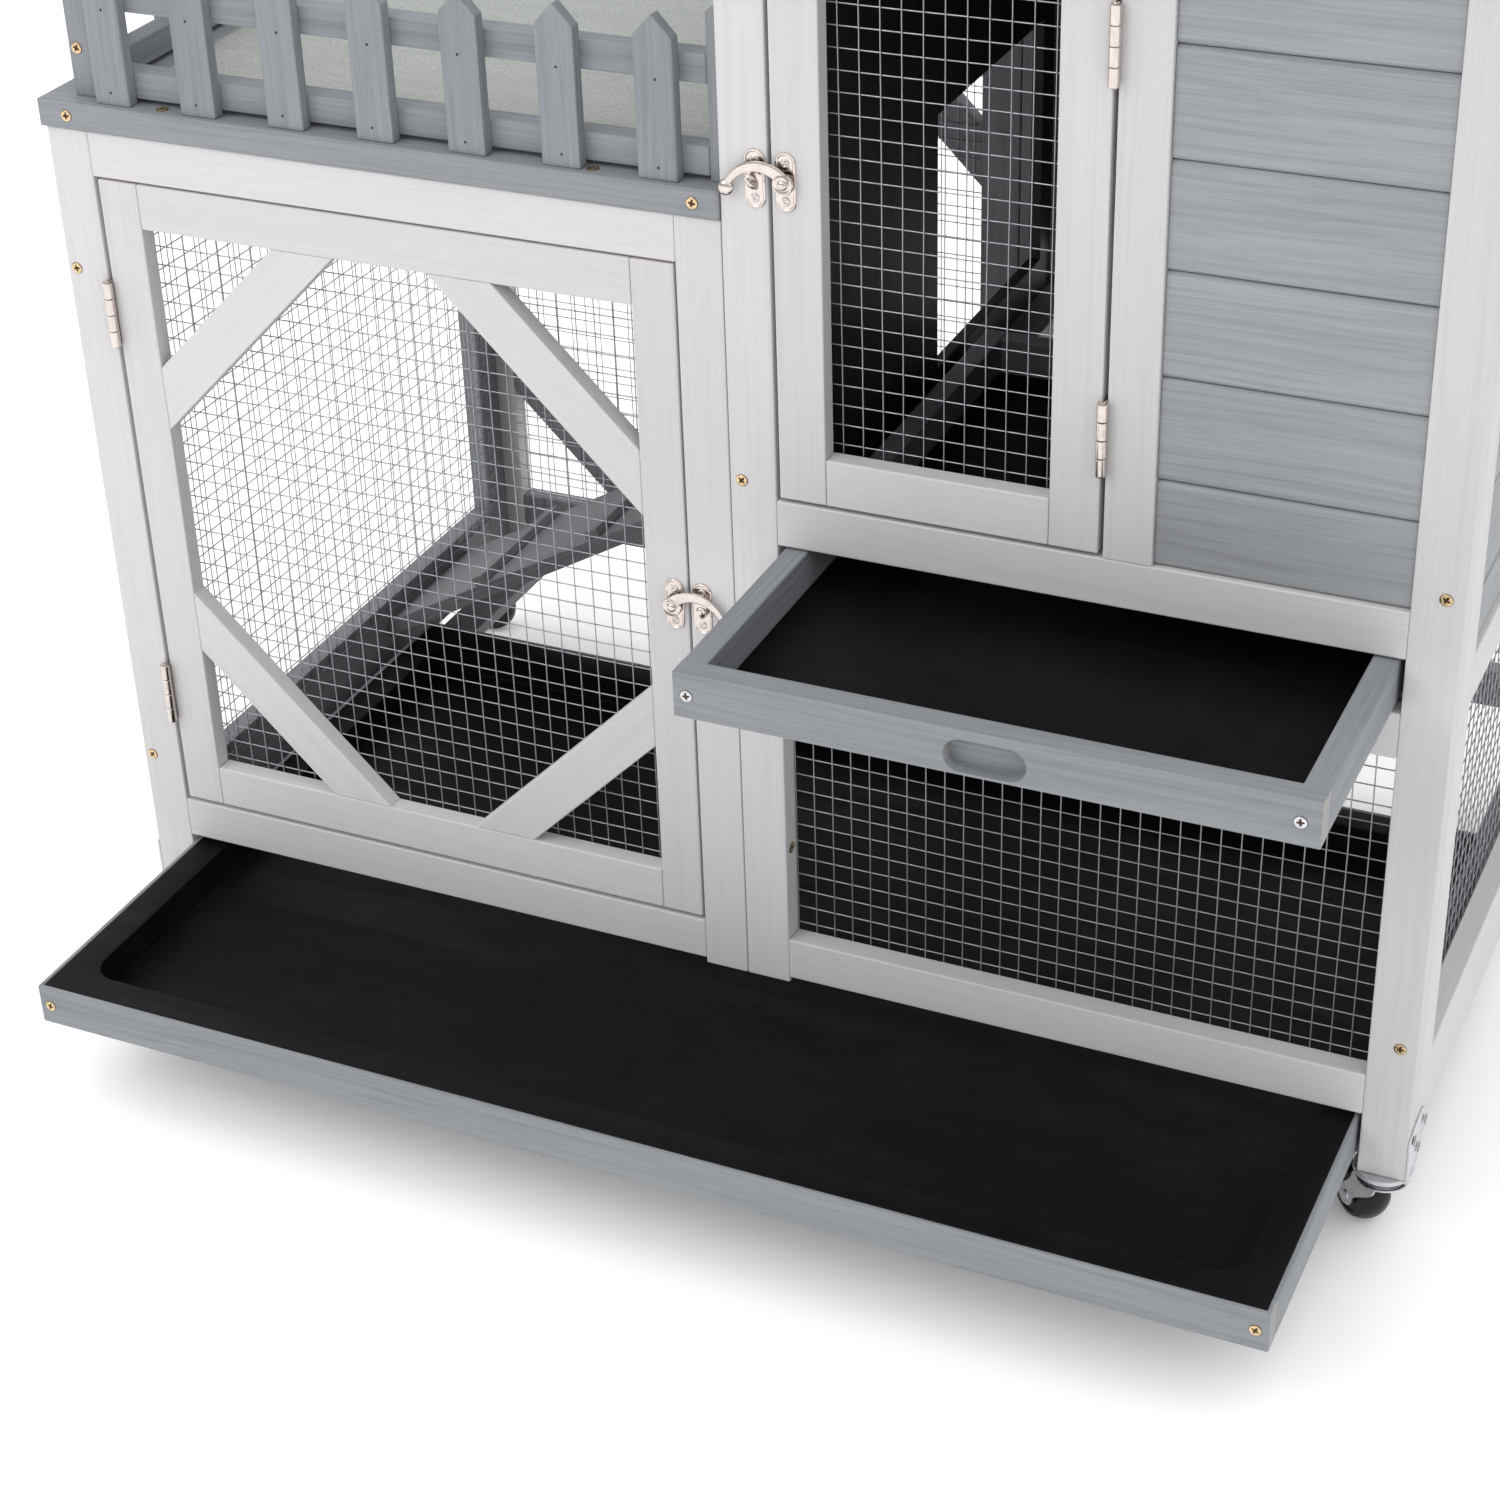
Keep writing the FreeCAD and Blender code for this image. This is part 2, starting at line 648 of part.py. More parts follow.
def butt_hinge():
    """A closed butt hinge about the Z axis: its pin side and its free side, in its own frame.

    The leaves lie along +Y, the pin side's at -X and the free side's at +X."""
    segment = HINGE_LONG / KNUCKLES
    slack = KNUCKLE_SLACK
    halves = []
    for side in (-1, 1):
        leaf_x = (side * LEAF_GAP / 2, side * (LEAF_GAP / 2 + LEAF))
        leaf_x = (min(leaf_x), max(leaf_x))
        leaf_low = KNUCKLE_R + KNUCKLE_CLEAR
        pieces = [box(leaf_x, (leaf_low, HINGE_PROUD + LEAF_DEEP), (0, HINGE_LONG))]
        for i in range(KNUCKLES):
            if (i % 2 == 0) == (side < 0):
                low, high = i * segment + slack, (i + 1) * segment - slack
                pieces.append(cylinder(KNUCKLE_R, V(0, 0, low), AXIS_Z, high - low))
                pieces.append(box(leaf_x, (0, leaf_low), (low, high)))
        half = fuse(pieces)
        if side < 0:
            half = fuse([half, cylinder(PIN_R, V(0, 0, slack), AXIS_Z, HINGE_LONG - 2 * slack)])
        else:
            half = half.cut(cylinder(PIN_R + PIN_GAP, V(0, 0, 0), AXIS_Z, HINGE_LONG))
        half.translate(V(0, 0, -HINGE_LONG / 2))
        halves.append(half)
    return halves


RUN_HINGE_X = RUN_DOOR[0] - LEAF_GAP / 2 - LEAF
UPPER_HINGE_X = UPPER_DOOR[1] + LEAF_GAP / 2 + LEAF
ROOF_HINGE_Y = DEPTH + HINGE_PROUD
ROOF_HINGE_Z = roof_height(ROOF_HINGE_Y) - HINGE_PROUD - LEAF


def hinges():
    fixed = []
    run_free, upper_free, roof_free = [], [], []
    for height in RUN_HINGE_Z:
        pin_side, free_side = butt_hinge()
        place = V(RUN_HINGE_X, -HINGE_PROUD, height)
        pin_side.translate(place)
        free_side.translate(place)
        fixed.append(pin_side)
        run_free.append(free_side)
    for height in UPPER_HINGE_Z:
        halves = [half.mirror(V(0, 0, 0), AXIS_X) for half in butt_hinge()]
        for half in halves:
            half.translate(V(UPPER_HINGE_X, -HINGE_PROUD, height))
        fixed.append(halves[0])
        upper_free.append(halves[1])
    for x in ROOF_HINGE_X:
        pin_side, free_side = roof_hinge()
        for half in (pin_side, free_side):
            half.translate(V(x, ROOF_HINGE_Y, ROOF_HINGE_Z))
        fixed.append(pin_side)
        roof_free.append(free_side)
    add("hinge_fixed_leaves", *fixed)
    add("run_door_hinge_leaves", *run_free)
    add("upper_door_hinge_leaves", *upper_free)
    add("roof_hinge_leaves", *roof_free)


def roof_hinge():
    """A hinge about X: one leaf down the back wall, the other level under the roof's overhang."""
    segment = HINGE_LONG / KNUCKLES
    slack = KNUCKLE_SLACK
    wall_y = (-HINGE_PROUD, LEAF - HINGE_PROUD)
    under_roof = HINGE_PROUD + LEAF
    leaf_top = -KNUCKLE_R - KNUCKLE_CLEAR
    pin_side = [box((0, HINGE_LONG), wall_y, (-LEAF_DEEP - KNUCKLE_R, leaf_top))]
    free_side = [roof_leaf(under_roof)]
    for i in range(KNUCKLES):
        low, high = i * segment + slack, (i + 1) * segment - slack
        knuckle = cylinder(KNUCKLE_R, V(low, 0, 0), AXIS_X, high - low)
        if i % 2 == 0:
            pin_side += [knuckle, box((low, high), wall_y, (leaf_top, 0))]
        else:
            free_side += [knuckle, box((low, high), (0, LEAF), (0, under_roof - LEAF / 2))]
    pin_side.append(cylinder(PIN_R, V(slack, 0, 0), AXIS_X, HINGE_LONG - 2 * slack))
    bore = cylinder(PIN_R + PIN_GAP, V(0, 0, 0), AXIS_X, HINGE_LONG)
    halves = [fuse(pin_side), fuse(free_side).cut(bore)]
    for half in halves:
        half.translate(V(-HINGE_LONG / 2, 0, 0))
    return halves


def roof_leaf(height):
    """The leaf screwed to the underside of the roof, which slopes with it."""
    drop = math.tan(ROOF_SLOPE) * LEAF_DEEP
    outline = [
        V(0, 0, height - LEAF),
        V(0, LEAF_DEEP, height - LEAF - drop),
        V(0, LEAF_DEEP, height - drop - JOINT),
        V(0, 0, height - JOINT),
    ]
    return prism(outline, V(HINGE_LONG, 0, 0))


# ---- latches --------------------------------------------------------------------------------

def plate(centre, z):
    wide, tall, thick = LATCH_PLATE
    straight = tall - wide
    body = box((centre - wide / 2, centre + wide / 2), (-thick, 0), (z - straight / 2, z + straight / 2))
    ends = [
        cylinder(wide / 2, V(centre, -thick, z + end * straight / 2), AXIS_Y, thick)
        for end in (-1, 1)
    ]
    return fuse([body] + ends)


def latch_arm(pivot_x, z, side):
    """The bowed arm: an eye on the pivot, a bow over the hook and a round finger end."""
    low, high = ARM_Y
    thick = high - low
    cx = pivot_x + side * ARM_CENTRE[0]
    cz = z + ARM_CENTRE[1]

    def disc(x, height, radius):
        return cylinder(radius, V(x, low, height), AXIS_Y, thick)

    def on_bow(degrees, radius):
        a = math.radians(degrees)
        return V(cx + side * radius * math.cos(a), low, cz + radius * math.sin(a))

    start, middle, end = ARM_SWEEP
    outer = Part.Arc(*[on_bow(a, ARM_R + ARM_HALF) for a in (start, middle, end)]).toShape()
    inner = Part.Arc(*[on_bow(a, ARM_R - ARM_HALF) for a in (end, middle, start)]).toShape()
    tip = Part.LineSegment(on_bow(end, ARM_R + ARM_HALF), on_bow(end, ARM_R - ARM_HALF)).toShape()
    root = Part.LineSegment(on_bow(start, ARM_R - ARM_HALF), on_bow(start, ARM_R + ARM_HALF)).toShape()
    bow = Part.Face(Part.Wire([outer, tip, inner, root])).extrude(V(0, thick, 0))
    finger = on_bow(end, ARM_R)
    arm = fuse([bow, disc(pivot_x, z, ARM_EYE_R), disc(finger.x, finger.z, ARM_FINGER_R)])
    return arm.cut(cylinder(PIN_R + PIN_GAP, V(pivot_x, low, z), AXIS_Y, thick))


def between_depths(radius, centre, front, back):
    """A round pin in front of the frame, between two depths."""
    return cylinder(radius, V(centre[0], front, centre[1]), AXIS_Y, back - front)


def latches():
    catches = []
    for name, door, side in (("run", RUN_DOOR, 1), ("upper", UPPER_DOOR, -1)):
        z = LATCH_Z[name]
        pivot = latch_pivot(door, side)
        thick = LATCH_PLATE[2]
        head_r, head_thick = PIVOT_HEAD
        head_back = ARM_Y[0] - ARM_PLAY
        washer = between_depths(PIVOT_WASHER_R, (pivot, z), ARM_Y[1] + ARM_PLAY, -thick)
        pin = between_depths(PIN_R, (pivot, z), head_back, -thick)
        head = between_depths(head_r, (pivot, z), head_back - head_thick, head_back)
        add(name + "_latch_plate", fuse([plate(pivot, z), washer, pin, head]))
        add(name + "_latch_arm", latch_arm(pivot, z, side))
        hook_x, hook_z, hook_r = pivot + side * HOOK[0], z + HOOK[1], HOOK[2]
        hook = between_depths(hook_r, (hook_x, hook_z), ARM_Y[0], -thick)
        catches.append(fuse([plate(pivot + side * PLATE_GAP, z), hook]))
    add("latch_catches", *catches)


def latch_pivot(door, side):
    edge = door[1] if side > 0 else door[0]
    return edge - side * PIVOT_IN


# ---- trays ----------------------------------------------------------------------------------

def lower_tray():
    left, right, low, high = LOWER_TRAY
    front = -LOWER_PULLED
    back = front + LOWER_TRAY_LONG
    z = (low, high)
    inner_y = (front + TRAY_BOARD, back - TRAY_BOARD)
    floor = low + PAN_WALL + 0.5
    rebate = high - PAN_WALL
    frame = [
        box((left, right), (front, inner_y[0]), z),
        box((left, right), (inner_y[1], back), z),
        box((left, left + TRAY_BOARD), inset(inner_y), z),
        box((right - TRAY_BOARD, right), inset(inner_y), z),
    ]
    seat = box(
        (left + PAN_LIP, right - PAN_LIP), (front + PAN_LIP, back - PAN_LIP), (rebate, high)
    )
    add("lower_tray_frame", *[piece.cut(seat) for piece in frame])

    rim = seat
    hollow_x = (left + PAN_RIM, right - PAN_RIM)
    hollow_y = (front + PAN_RIM, back - PAN_RIM)
    outer = rounded_block(grow(hollow_x, PAN_WALL), grow(hollow_y, PAN_WALL), (floor, rebate), PAN_CORNER)
    hollow = rounded_block(hollow_x, hollow_y, (floor + PAN_WALL, high), PAN_CORNER - PAN_WALL)
    add("lower_tray_pan", fuse([rim, outer]).cut(hollow))
    ends = (left + TRAY_SCREW_IN["lower"][0], right - TRAY_SCREW_IN["lower"][1])
    middle = (low + high) / 2
    add("lower_tray_screws", *[screw_head(V(x, front, middle), V(0, -1, 0)) for x in ends])


def grow(pair, size):
    return (pair[0] - size, pair[1] + size)


def rounded_block(x, y, z, radius):
    block = box(x, y, z)
    upright = [e for e in block.Edges if abs(e.tangentAt(e.FirstParameter).z) > 0.9]
    return block.makeFillet(radius, upright)


def upper_tray():
    left, right, low, high = UPPER_TRAY
    front = -UPPER_PULLED
    back = front + UPPER_TRAY_LONG
    z = (low, high)
    inner_x = (left + TRAY_BOARD, right - TRAY_BOARD)
    inner_y = (front + TRAY_BOARD, back - TRAY_BOARD)
    board = box((left, right), (front, inner_y[0]), z)
    middle = ((left + right) / 2, (low + high) / 2 - POCKET_DROP)
    add("upper_tray_front", board.cut(finger_pocket(middle, front)))
    floor_z = span(low, TRAY_FLOOR)
    groove = box(grow(inner_x, 5.0), (inner_y[0], back), floor_z)
    sides = [
        box((left, inner_x[0]), (inner_y[0], back), z),
        box((inner_x[1], right), (inner_y[0], back), z),
        box(inset(inner_x), (inner_y[1], back), z),
    ]
    add("upper_tray_sides", *[side.cut(groove) for side in sides])
    add("upper_tray_floor", groove)
    ends = (left + TRAY_SCREW_IN["upper"][0], right - TRAY_SCREW_IN["upper"][1])
    height = (low + high) / 2
    add("upper_tray_screws", *[screw_head(V(x, front, height), V(0, -1, 0)) for x in ends])


def finger_pocket(centre, face_y):
    """A blind slot with round ends, to pull the tray by."""
    long, tall, deep = POCKET
    half = (long - tall) / 2
    x, z = centre
    slot = box((x - half, x + half), span(face_y, deep), (z - tall / 2, z + tall / 2))
    ends = [cylinder(tall / 2, V(x + side * half, face_y, z), AXIS_Y, deep) for side in (-1, 1)]
    return fuse([slot] + ends)


# ---- roof -----------------------------------------------------------------------------------

ROOF_X = (TOWER_X - 16.0, WIDTH + 18.0)
ROOF_FRONT = -26.0
ROOF_BACK = DEPTH + 28.0
ROOF_BOARD = 12.0
FASCIA = 12.0
FASCIA_DROP = 14.0


def roof():
    """A sloping board with battens round three edges and felt on top, modelled level and tipped."""
    deep = (ROOF_FRONT, ROOF_BACK)
    level = [
        box(inset(ROOF_X), (ROOF_FRONT + JOINT, ROOF_BACK), (0, ROOF_BOARD)),
        box(grow(ROOF_X, FASCIA), (ROOF_FRONT - FASCIA, ROOF_FRONT - JOINT), (-FASCIA_DROP, ROOF_BOARD)),
        box((ROOF_X[0] - FASCIA, ROOF_X[0]), deep, (-FASCIA_DROP, ROOF_BOARD)),
        box((ROOF_X[1], ROOF_X[1] + FASCIA), deep, (-FASCIA_DROP, ROOF_BOARD)),
    ]
    felt = box(grow(ROOF_X, FASCIA), (ROOF_FRONT - FASCIA, ROOF_BACK), span(ROOF_BOARD, FELT))
    for piece in level + [felt]:
        piece.rotate(V(0, 0, 0), AXIS_X, -math.degrees(ROOF_SLOPE))
        piece.translate(V(0, 0, TOWER_TOP))
    add("roof_panel", *level)
    add("roof_felt", felt)


# ---- casters --------------------------------------------------------------------------------

LEG_IN = WHEEL_WIDE / 2 + LEG_CLEAR  # inner face of each leg from the wheel's middle


def caster_axis(corner):
    side, end = CASTER_IN[corner.split("_")[0]]
    x = side if "left" in corner else WIDTH - side
    y = end if "front" in corner else DEPTH - end
    return V(x, y, 0)


def in_place(shape, corner):
    shape.rotate(V(0, 0, 0), AXIS_Z, CASTER_YAW[corner])
    shape.translate(caster_axis(corner))
    return shape


def caster_fork():
    """A round head with two legs down to the axle; the wheel trails along +X."""
    head = cylinder(FORK_R, V(0, 0, FORK_HEAD[0]), AXIS_Z, FORK_HEAD[1] - FORK_HEAD[0])
    legs = []
    for inner in (LEG_IN, -LEG_IN - LEG):
        outline = [
            V(LEG_TOP[0], inner, sum(FORK_HEAD) / 2),
            V(LEG_TOP[1], inner, sum(FORK_HEAD) / 2),
            V(CASTER_TRAIL + LEG_FOOT_R, inner, WHEEL_R),
            V(CASTER_TRAIL - LEG_FOOT_R, inner, WHEEL_R),
        ]
        foot = cylinder(LEG_FOOT_R, V(CASTER_TRAIL, inner, WHEEL_R), AXIS_Y, LEG)
        legs.append(fuse([prism(outline, V(0, LEG, 0)), foot]))
    fork = fuse([head] + legs)
    fork = fork.cut(cylinder(KINGPIN_R + RUNNING_GAP, V(0, 0, 0), AXIS_Z, FOOT))
    hole = cylinder(AXLE_R + RUNNING_GAP, V(CASTER_TRAIL, -BOARD, WHEEL_R), AXIS_Y, 2 * BOARD)
    return fork.cut(hole)


def caster_axle():
    reach = LEG_IN + LEG + AXLE_END
    return cylinder(AXLE_R, V(CASTER_TRAIL, -reach, WHEEL_R), AXIS_Y, 2 * reach)


def caster_wheel():
    """A fat wheel with a crowned tread, turned about its axle."""
    half = WHEEL_WIDE / 2
    hub = AXLE_R + RUNNING_GAP
    shoulder = WHEEL_R - WHEEL_CROWN
    crown = Part.Arc(V(0, -half, shoulder), V(0, 0, WHEEL_R), V(0, half, shoulder)).toShape()
    sides = [
        Part.LineSegment(V(0, half, shoulder), V(0, half, hub)).toShape(),
        Part.LineSegment(V(0, half, hub), V(0, -half, hub)).toShape(),
        Part.LineSegment(V(0, -half, hub), V(0, -half, shoulder)).toShape(),
    ]
    wheel = Part.Face(Part.Wire([crown] + sides)).revolve(V(0, 0, 0), AXIS_Y, 360)
    wheel.translate(V(CASTER_TRAIL, 0, WHEEL_R))
    return wheel


def caster_bracket(corner):
    """A round flange under the post with raceway and kingpin, and a leaf up the side."""
    flange = cylinder(FLANGE_R, V(0, 0, RACEWAY[1]), AXIS_Z, FOOT - RACEWAY[1])
    raceway = cylinder(RACEWAY_R, V(0, 0, RACEWAY[0]), AXIS_Z, RACEWAY[1] - RACEWAY[0])
    head_r, head_thick = KINGPIN_HEAD
    rivet_top = FORK_HEAD[0] - JOINT
    kingpin = cylinder(KINGPIN_R, V(0, 0, rivet_top), AXIS_Z, RACEWAY[0] - rivet_top)
    head = cylinder(head_r, V(0, 0, rivet_top - head_thick), AXIS_Z, head_thick)
    side, end = CASTER_IN[corner.split("_")[0]]
    under = RACEWAY[1]
    leaf = [V(side, -end, under), V(side, BRACKET_FOOT - end, under)]
    leaf += [V(side, along - end, FOOT + up) for along, up in BRACKET_LEAF]
    upright = prism(leaf, V(BRACKET, 0, 0))
    foot = box((0, side + BRACKET), span(-end, BRACKET_FOOT), (under, FOOT))
    bracket = fuse([flange, raceway, kingpin, head, upright, foot])
    if "left" in corner:
        bracket = bracket.mirror(V(0, 0, 0), AXIS_X)
    if "back" in corner:
        bracket = bracket.mirror(V(0, 0, 0), AXIS_Y)
    bracket.translate(caster_axis(corner))
    return bracket


def casters():
    add("caster_brackets", *[caster_bracket(corner) for corner in CORNERS])
    for corner in CORNERS:
        fork = [in_place(piece, corner) for piece in (caster_fork(), caster_axle())]
        add("caster_fork_" + corner, *fork)
        add("caster_wheel_" + corner, in_place(caster_wheel(), corner))


# ---- screws ---------------------------------------------------------------------------------

def frame_screws():
    to_front = V(0, -1, 0)
    deck_edge = DECK_Z[0] + DECK / 2
    places = [V(x, 0, z) for x, z in POST_SCREWS]
    places += [
        V(DECK_X[0] + DECK_EDGE_SCREWS[0], DECK_Y[0], deck_edge),
        V(DECK_X[1] - DECK_EDGE_SCREWS[1], DECK_Y[0], deck_edge),
        V(LEFT_FENCE_POST[0] + FENCE_SCREW[0], FRONT_RAIL_Y[0], DECK_Z[1] + FENCE_SCREW[1]),
    ]
    heads = [screw_head(place, to_front) for place in places]
    heads.append(screw_head(V(TOWER_X + BOARD, POST_DEEP / 2, POST_SIDE_SCREW_Z), AXIS_X))
    before_rail = FRONT_RAIL_Y[0] - SCREW_R - JOINT
    for x in DECK_TOP_SCREWS_X:
        heads.append(screw_head(V(x, before_rail, DECK_Z[1]), AXIS_Z))
    add("frame_screws", *heads)


# ---- assembly -------------------------------------------------------------------------------

def build():
    corner_posts()
    front_frame()
    back_frame()
    side_frames()
    wall_boards()
    partition()
    meshes()
    runners()
    ramp()
    terrace()
    fence()
    doors()
    hinges()
    latches()
    lower_tray()
    upper_tray()
    roof()
    casters()
    frame_screws()


def origin_shift():
    """From the building frame to the bottom centre of the whole hutch."""
    everything = Part.makeCompound([shape for shapes in nodes.values() for shape in shapes])
    bounds = everything.optimalBoundingBox(False)
    return V(-(bounds.XMin + bounds.XMax) / 2, -(bounds.YMin + bounds.YMax) / 2, -bounds.ZMin)


build()
SHIFT = origin_shift()
os.makedirs("parts", exist_ok=True)
for name, shapes in nodes.items():
    for shape in shapes:
        shape.translate(SHIFT)
    whole = shapes[0] if len(shapes) == 1 else Part.makeCompound(shapes)
    whole.exportStep(os.path.join("parts", name + ".step"))
print("nodes:", len(nodes), "shift:", [round(value, 3) for value in SHIFT])
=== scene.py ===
import json
import math
import random

import bmesh
import bpy
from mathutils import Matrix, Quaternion, Vector, noise


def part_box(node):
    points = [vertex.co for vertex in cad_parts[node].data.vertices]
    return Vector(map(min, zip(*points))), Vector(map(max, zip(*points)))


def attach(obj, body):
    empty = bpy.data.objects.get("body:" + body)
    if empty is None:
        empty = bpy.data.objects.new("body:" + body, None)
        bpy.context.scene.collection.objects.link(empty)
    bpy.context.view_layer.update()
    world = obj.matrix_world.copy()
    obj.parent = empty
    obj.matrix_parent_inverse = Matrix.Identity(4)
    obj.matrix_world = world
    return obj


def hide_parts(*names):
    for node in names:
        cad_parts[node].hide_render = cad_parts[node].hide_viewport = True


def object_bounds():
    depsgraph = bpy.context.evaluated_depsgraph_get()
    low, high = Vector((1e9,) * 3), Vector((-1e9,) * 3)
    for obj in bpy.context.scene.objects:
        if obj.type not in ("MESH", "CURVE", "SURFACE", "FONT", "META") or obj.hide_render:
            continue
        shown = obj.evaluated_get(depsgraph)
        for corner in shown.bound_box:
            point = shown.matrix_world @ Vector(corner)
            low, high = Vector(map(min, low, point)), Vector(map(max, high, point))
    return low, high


# Rabbit hutch on casters. Metres, +X to the house's side, +Y to the back, +Z up.

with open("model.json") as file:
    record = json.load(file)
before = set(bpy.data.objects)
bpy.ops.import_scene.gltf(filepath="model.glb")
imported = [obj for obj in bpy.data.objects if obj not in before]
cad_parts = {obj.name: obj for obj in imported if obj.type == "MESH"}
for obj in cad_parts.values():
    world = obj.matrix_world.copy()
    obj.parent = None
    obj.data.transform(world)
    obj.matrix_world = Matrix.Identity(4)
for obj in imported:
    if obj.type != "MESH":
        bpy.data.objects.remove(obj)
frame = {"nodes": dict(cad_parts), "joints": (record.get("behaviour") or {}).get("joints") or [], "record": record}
CAD_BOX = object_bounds()

MM = 0.001
RECORD = frame["record"]
BODY_OF = {node: body for body, members in RECORD["behaviour"]["bodies"].items() for node in members}
SLOT_OF = {row["node"]: row["material_slot"] for row in RECORD["subparts"]}

WELD = 1e-6
FLAT = math.radians(0.5)
SHARP = math.radians(32)
BOARD_BEVEL = 0.9 * MM
METAL_BEVEL = 0.25 * MM
PLASTIC_BEVEL = 1.2 * MM


# ---- materials ------------------------------------------------------------------------------

class Shader:
    """A node material with the Principled shader, built a node at a time."""

    def __init__(self, name):
        self.material = bpy.data.materials.new(name)
        self.material.use_nodes = True
        self.tree = self.material.node_tree
        self.principled = self.tree.nodes["Principled BSDF"]

    def node(self, kind, inputs=(), **settings):
        made = self.tree.nodes.new("ShaderNode" + kind)
        for key, value in settings.items():
            setattr(made, key, value)
        for key, value in dict(inputs).items():
            self.feed(made.inputs[key], value)
        return made

    def feed(self, socket, value):
        if isinstance(value, bpy.types.NodeSocket):
            self.tree.links.new(value, socket)
        else:
            socket.default_value = value

    def surface(self, **inputs):
        for key, value in inputs.items():
            self.feed(self.principled.inputs[key.replace("_", " ")], value)

    def attribute(self, name):
        return self.node("Attribute", attribute_name=name)

    def scaled(self, vector, scale):
        return self.node("Mapping", {"Vector": vector, "Scale": scale}).outputs["Vector"]

    def noise(self, vector, scale=1.0, detail=4.0, roughness=0.5):
        inputs = {"Vector": vector, "Scale": scale, "Detail": detail, "Roughness": roughness}
        return self.node("TexNoise", inputs).outputs["Fac"]

    def ramp(self, value, low, high, out_low=0.0, out_high=1.0):
        inputs = {"Value": value, "From Min": low, "From Max": high, "To Min": out_low, "To Max": out_high}
        return self.node("MapRange", inputs).outputs["Result"]

    def math(self, operation, a, b):
        return self.node("Math", {0: a, 1: b}, operation=operation).outputs[0]

    def mix(self, factor, a, b, blend="MIX"):
        inputs = {"Factor": factor, 6: a, 7: b}
        made = self.tree.nodes.new("ShaderNodeMix")
        made.data_type = "RGBA"
        made.blend_type = blend
        for key, value in inputs.items():
            self.feed(made.inputs[key], value)
        return made.outputs[2]

    def bump(self, height, distance, strength=1.0, normal=None):
        inputs = {"Height": height, "Distance": distance, "Strength": strength}
        if normal is not None:
            inputs["Normal"] = normal
        return self.node("Bump", inputs).outputs["Normal"]

    def place(self):
        return self.node("TexCoord").outputs["Object"]


def rgb(red, green, blue):
    """A linear colour from the 0 to 255 values of a display."""
    def linear(value):
        value /= 255
        return value / 12.92 if value <= 0.04045 else ((value + 0.055) / 1.055) ** 2.4
    return (linear(red), linear(green), linear(blue), 1.0)


def wood(name, light, dark, raw, contrast=1.0, wear=0.5, relief=0.16 * MM):
    """Painted softwood: fibres and growth rings along the board, raw wood along its edges."""
    s = Shader(name)
    grain = s.attribute("grain").outputs["Vector"]
    board = s.attribute("board").outputs["Fac"]
    edge = s.attribute("edge").outputs["Fac"]
    end = s.attribute("end").outputs["Fac"]
    wander = s.node("TexNoise", {"Vector": s.scaled(grain, (5, 14, 14)), "Scale": 1.0, "Detail": 2.0})
    bent = s.node("VectorMath", {0: wander.outputs["Color"], "Scale": 0.010}, operation="SCALE")
    line = s.node("VectorMath", {0: grain, 1: bent.outputs[0]}, operation="ADD").outputs[0]
    fibres = s.noise(s.scaled(line, (9, 1100, 1100)), detail=6.0, roughness=0.62)
    rings = s.noise(s.scaled(line, (2.6, 300, 300)), detail=3.0, roughness=0.55)
    clouds = s.noise(s.scaled(grain, (7, 30, 30)), detail=3.0)
    streak = s.math("MULTIPLY", s.ramp(fibres, 0.38, 0.66), 0.55 * contrast)
    band = s.math("MULTIPLY", s.ramp(rings, 0.44, 0.70), 0.60 * contrast)
    cloud = s.math("MULTIPLY", s.ramp(clouds, 0.40, 0.75), 0.30 * contrast)
    shade = s.math("ADD", s.math("ADD", streak, band), cloud)
    colour = s.mix(s.math("MINIMUM", shade, 1.0), light, dark)
    tone = s.ramp(board, 0.0, 1.0, 0.95, 1.03)
    colour = s.mix(1.0, colour, s.node("CombineColor", {0: tone, 1: tone, 2: tone}).outputs[0], "MULTIPLY")
    worn = s.math("MULTIPLY", edge, s.ramp(clouds, 0.50 - 0.10 * wear, 0.62, 0.0, wear))
    bare = s.math("MAXIMUM", worn, s.math("MULTIPLY", end, s.ramp(fibres, 0.35, 0.75, 0.10, 0.45)))
    colour = s.mix(bare, colour, raw)
    height = s.math("ADD", s.math("MULTIPLY", fibres, 0.7), s.math("MULTIPLY", rings, 0.6))
    s.surface(
        Base_Color=colour,
        Roughness=s.ramp(fibres, 0.3, 0.7, 0.50, 0.68),
        Normal=s.bump(height, relief, 0.55),
    )
    s.principled.inputs["Specular IOR Level"].default_value = 0.32
    return s.material


def plastic(name, colour, roughness, relief, specular, grain_scale=2600.0):
    """Moulded plastic with a fine spark-eroded grain and faint scuffs."""
    s = Shader(name)
    place = s.place()
    grain = s.noise(place, grain_scale, 2.0)
    scuffs = s.noise(s.scaled(place, (9, 60, 60)), 1.0, 5.0, 0.6)
    mottle = s.noise(place, 22.0, 4.0)
    lighter = tuple(min(1.0, channel * 1.7 + 0.002) for channel in colour[:3]) + (1.0,)
    s.surface(
        Base_Color=s.mix(s.ramp(mottle, 0.35, 0.75, 0.0, 0.7), colour, lighter),
        Roughness=s.ramp(scuffs, 0.35, 0.7, roughness - 0.08, roughness + 0.10),
        Normal=s.bump(grain, relief, 0.5),
    )
    s.principled.inputs["Specular IOR Level"].default_value = specular
    return s.material


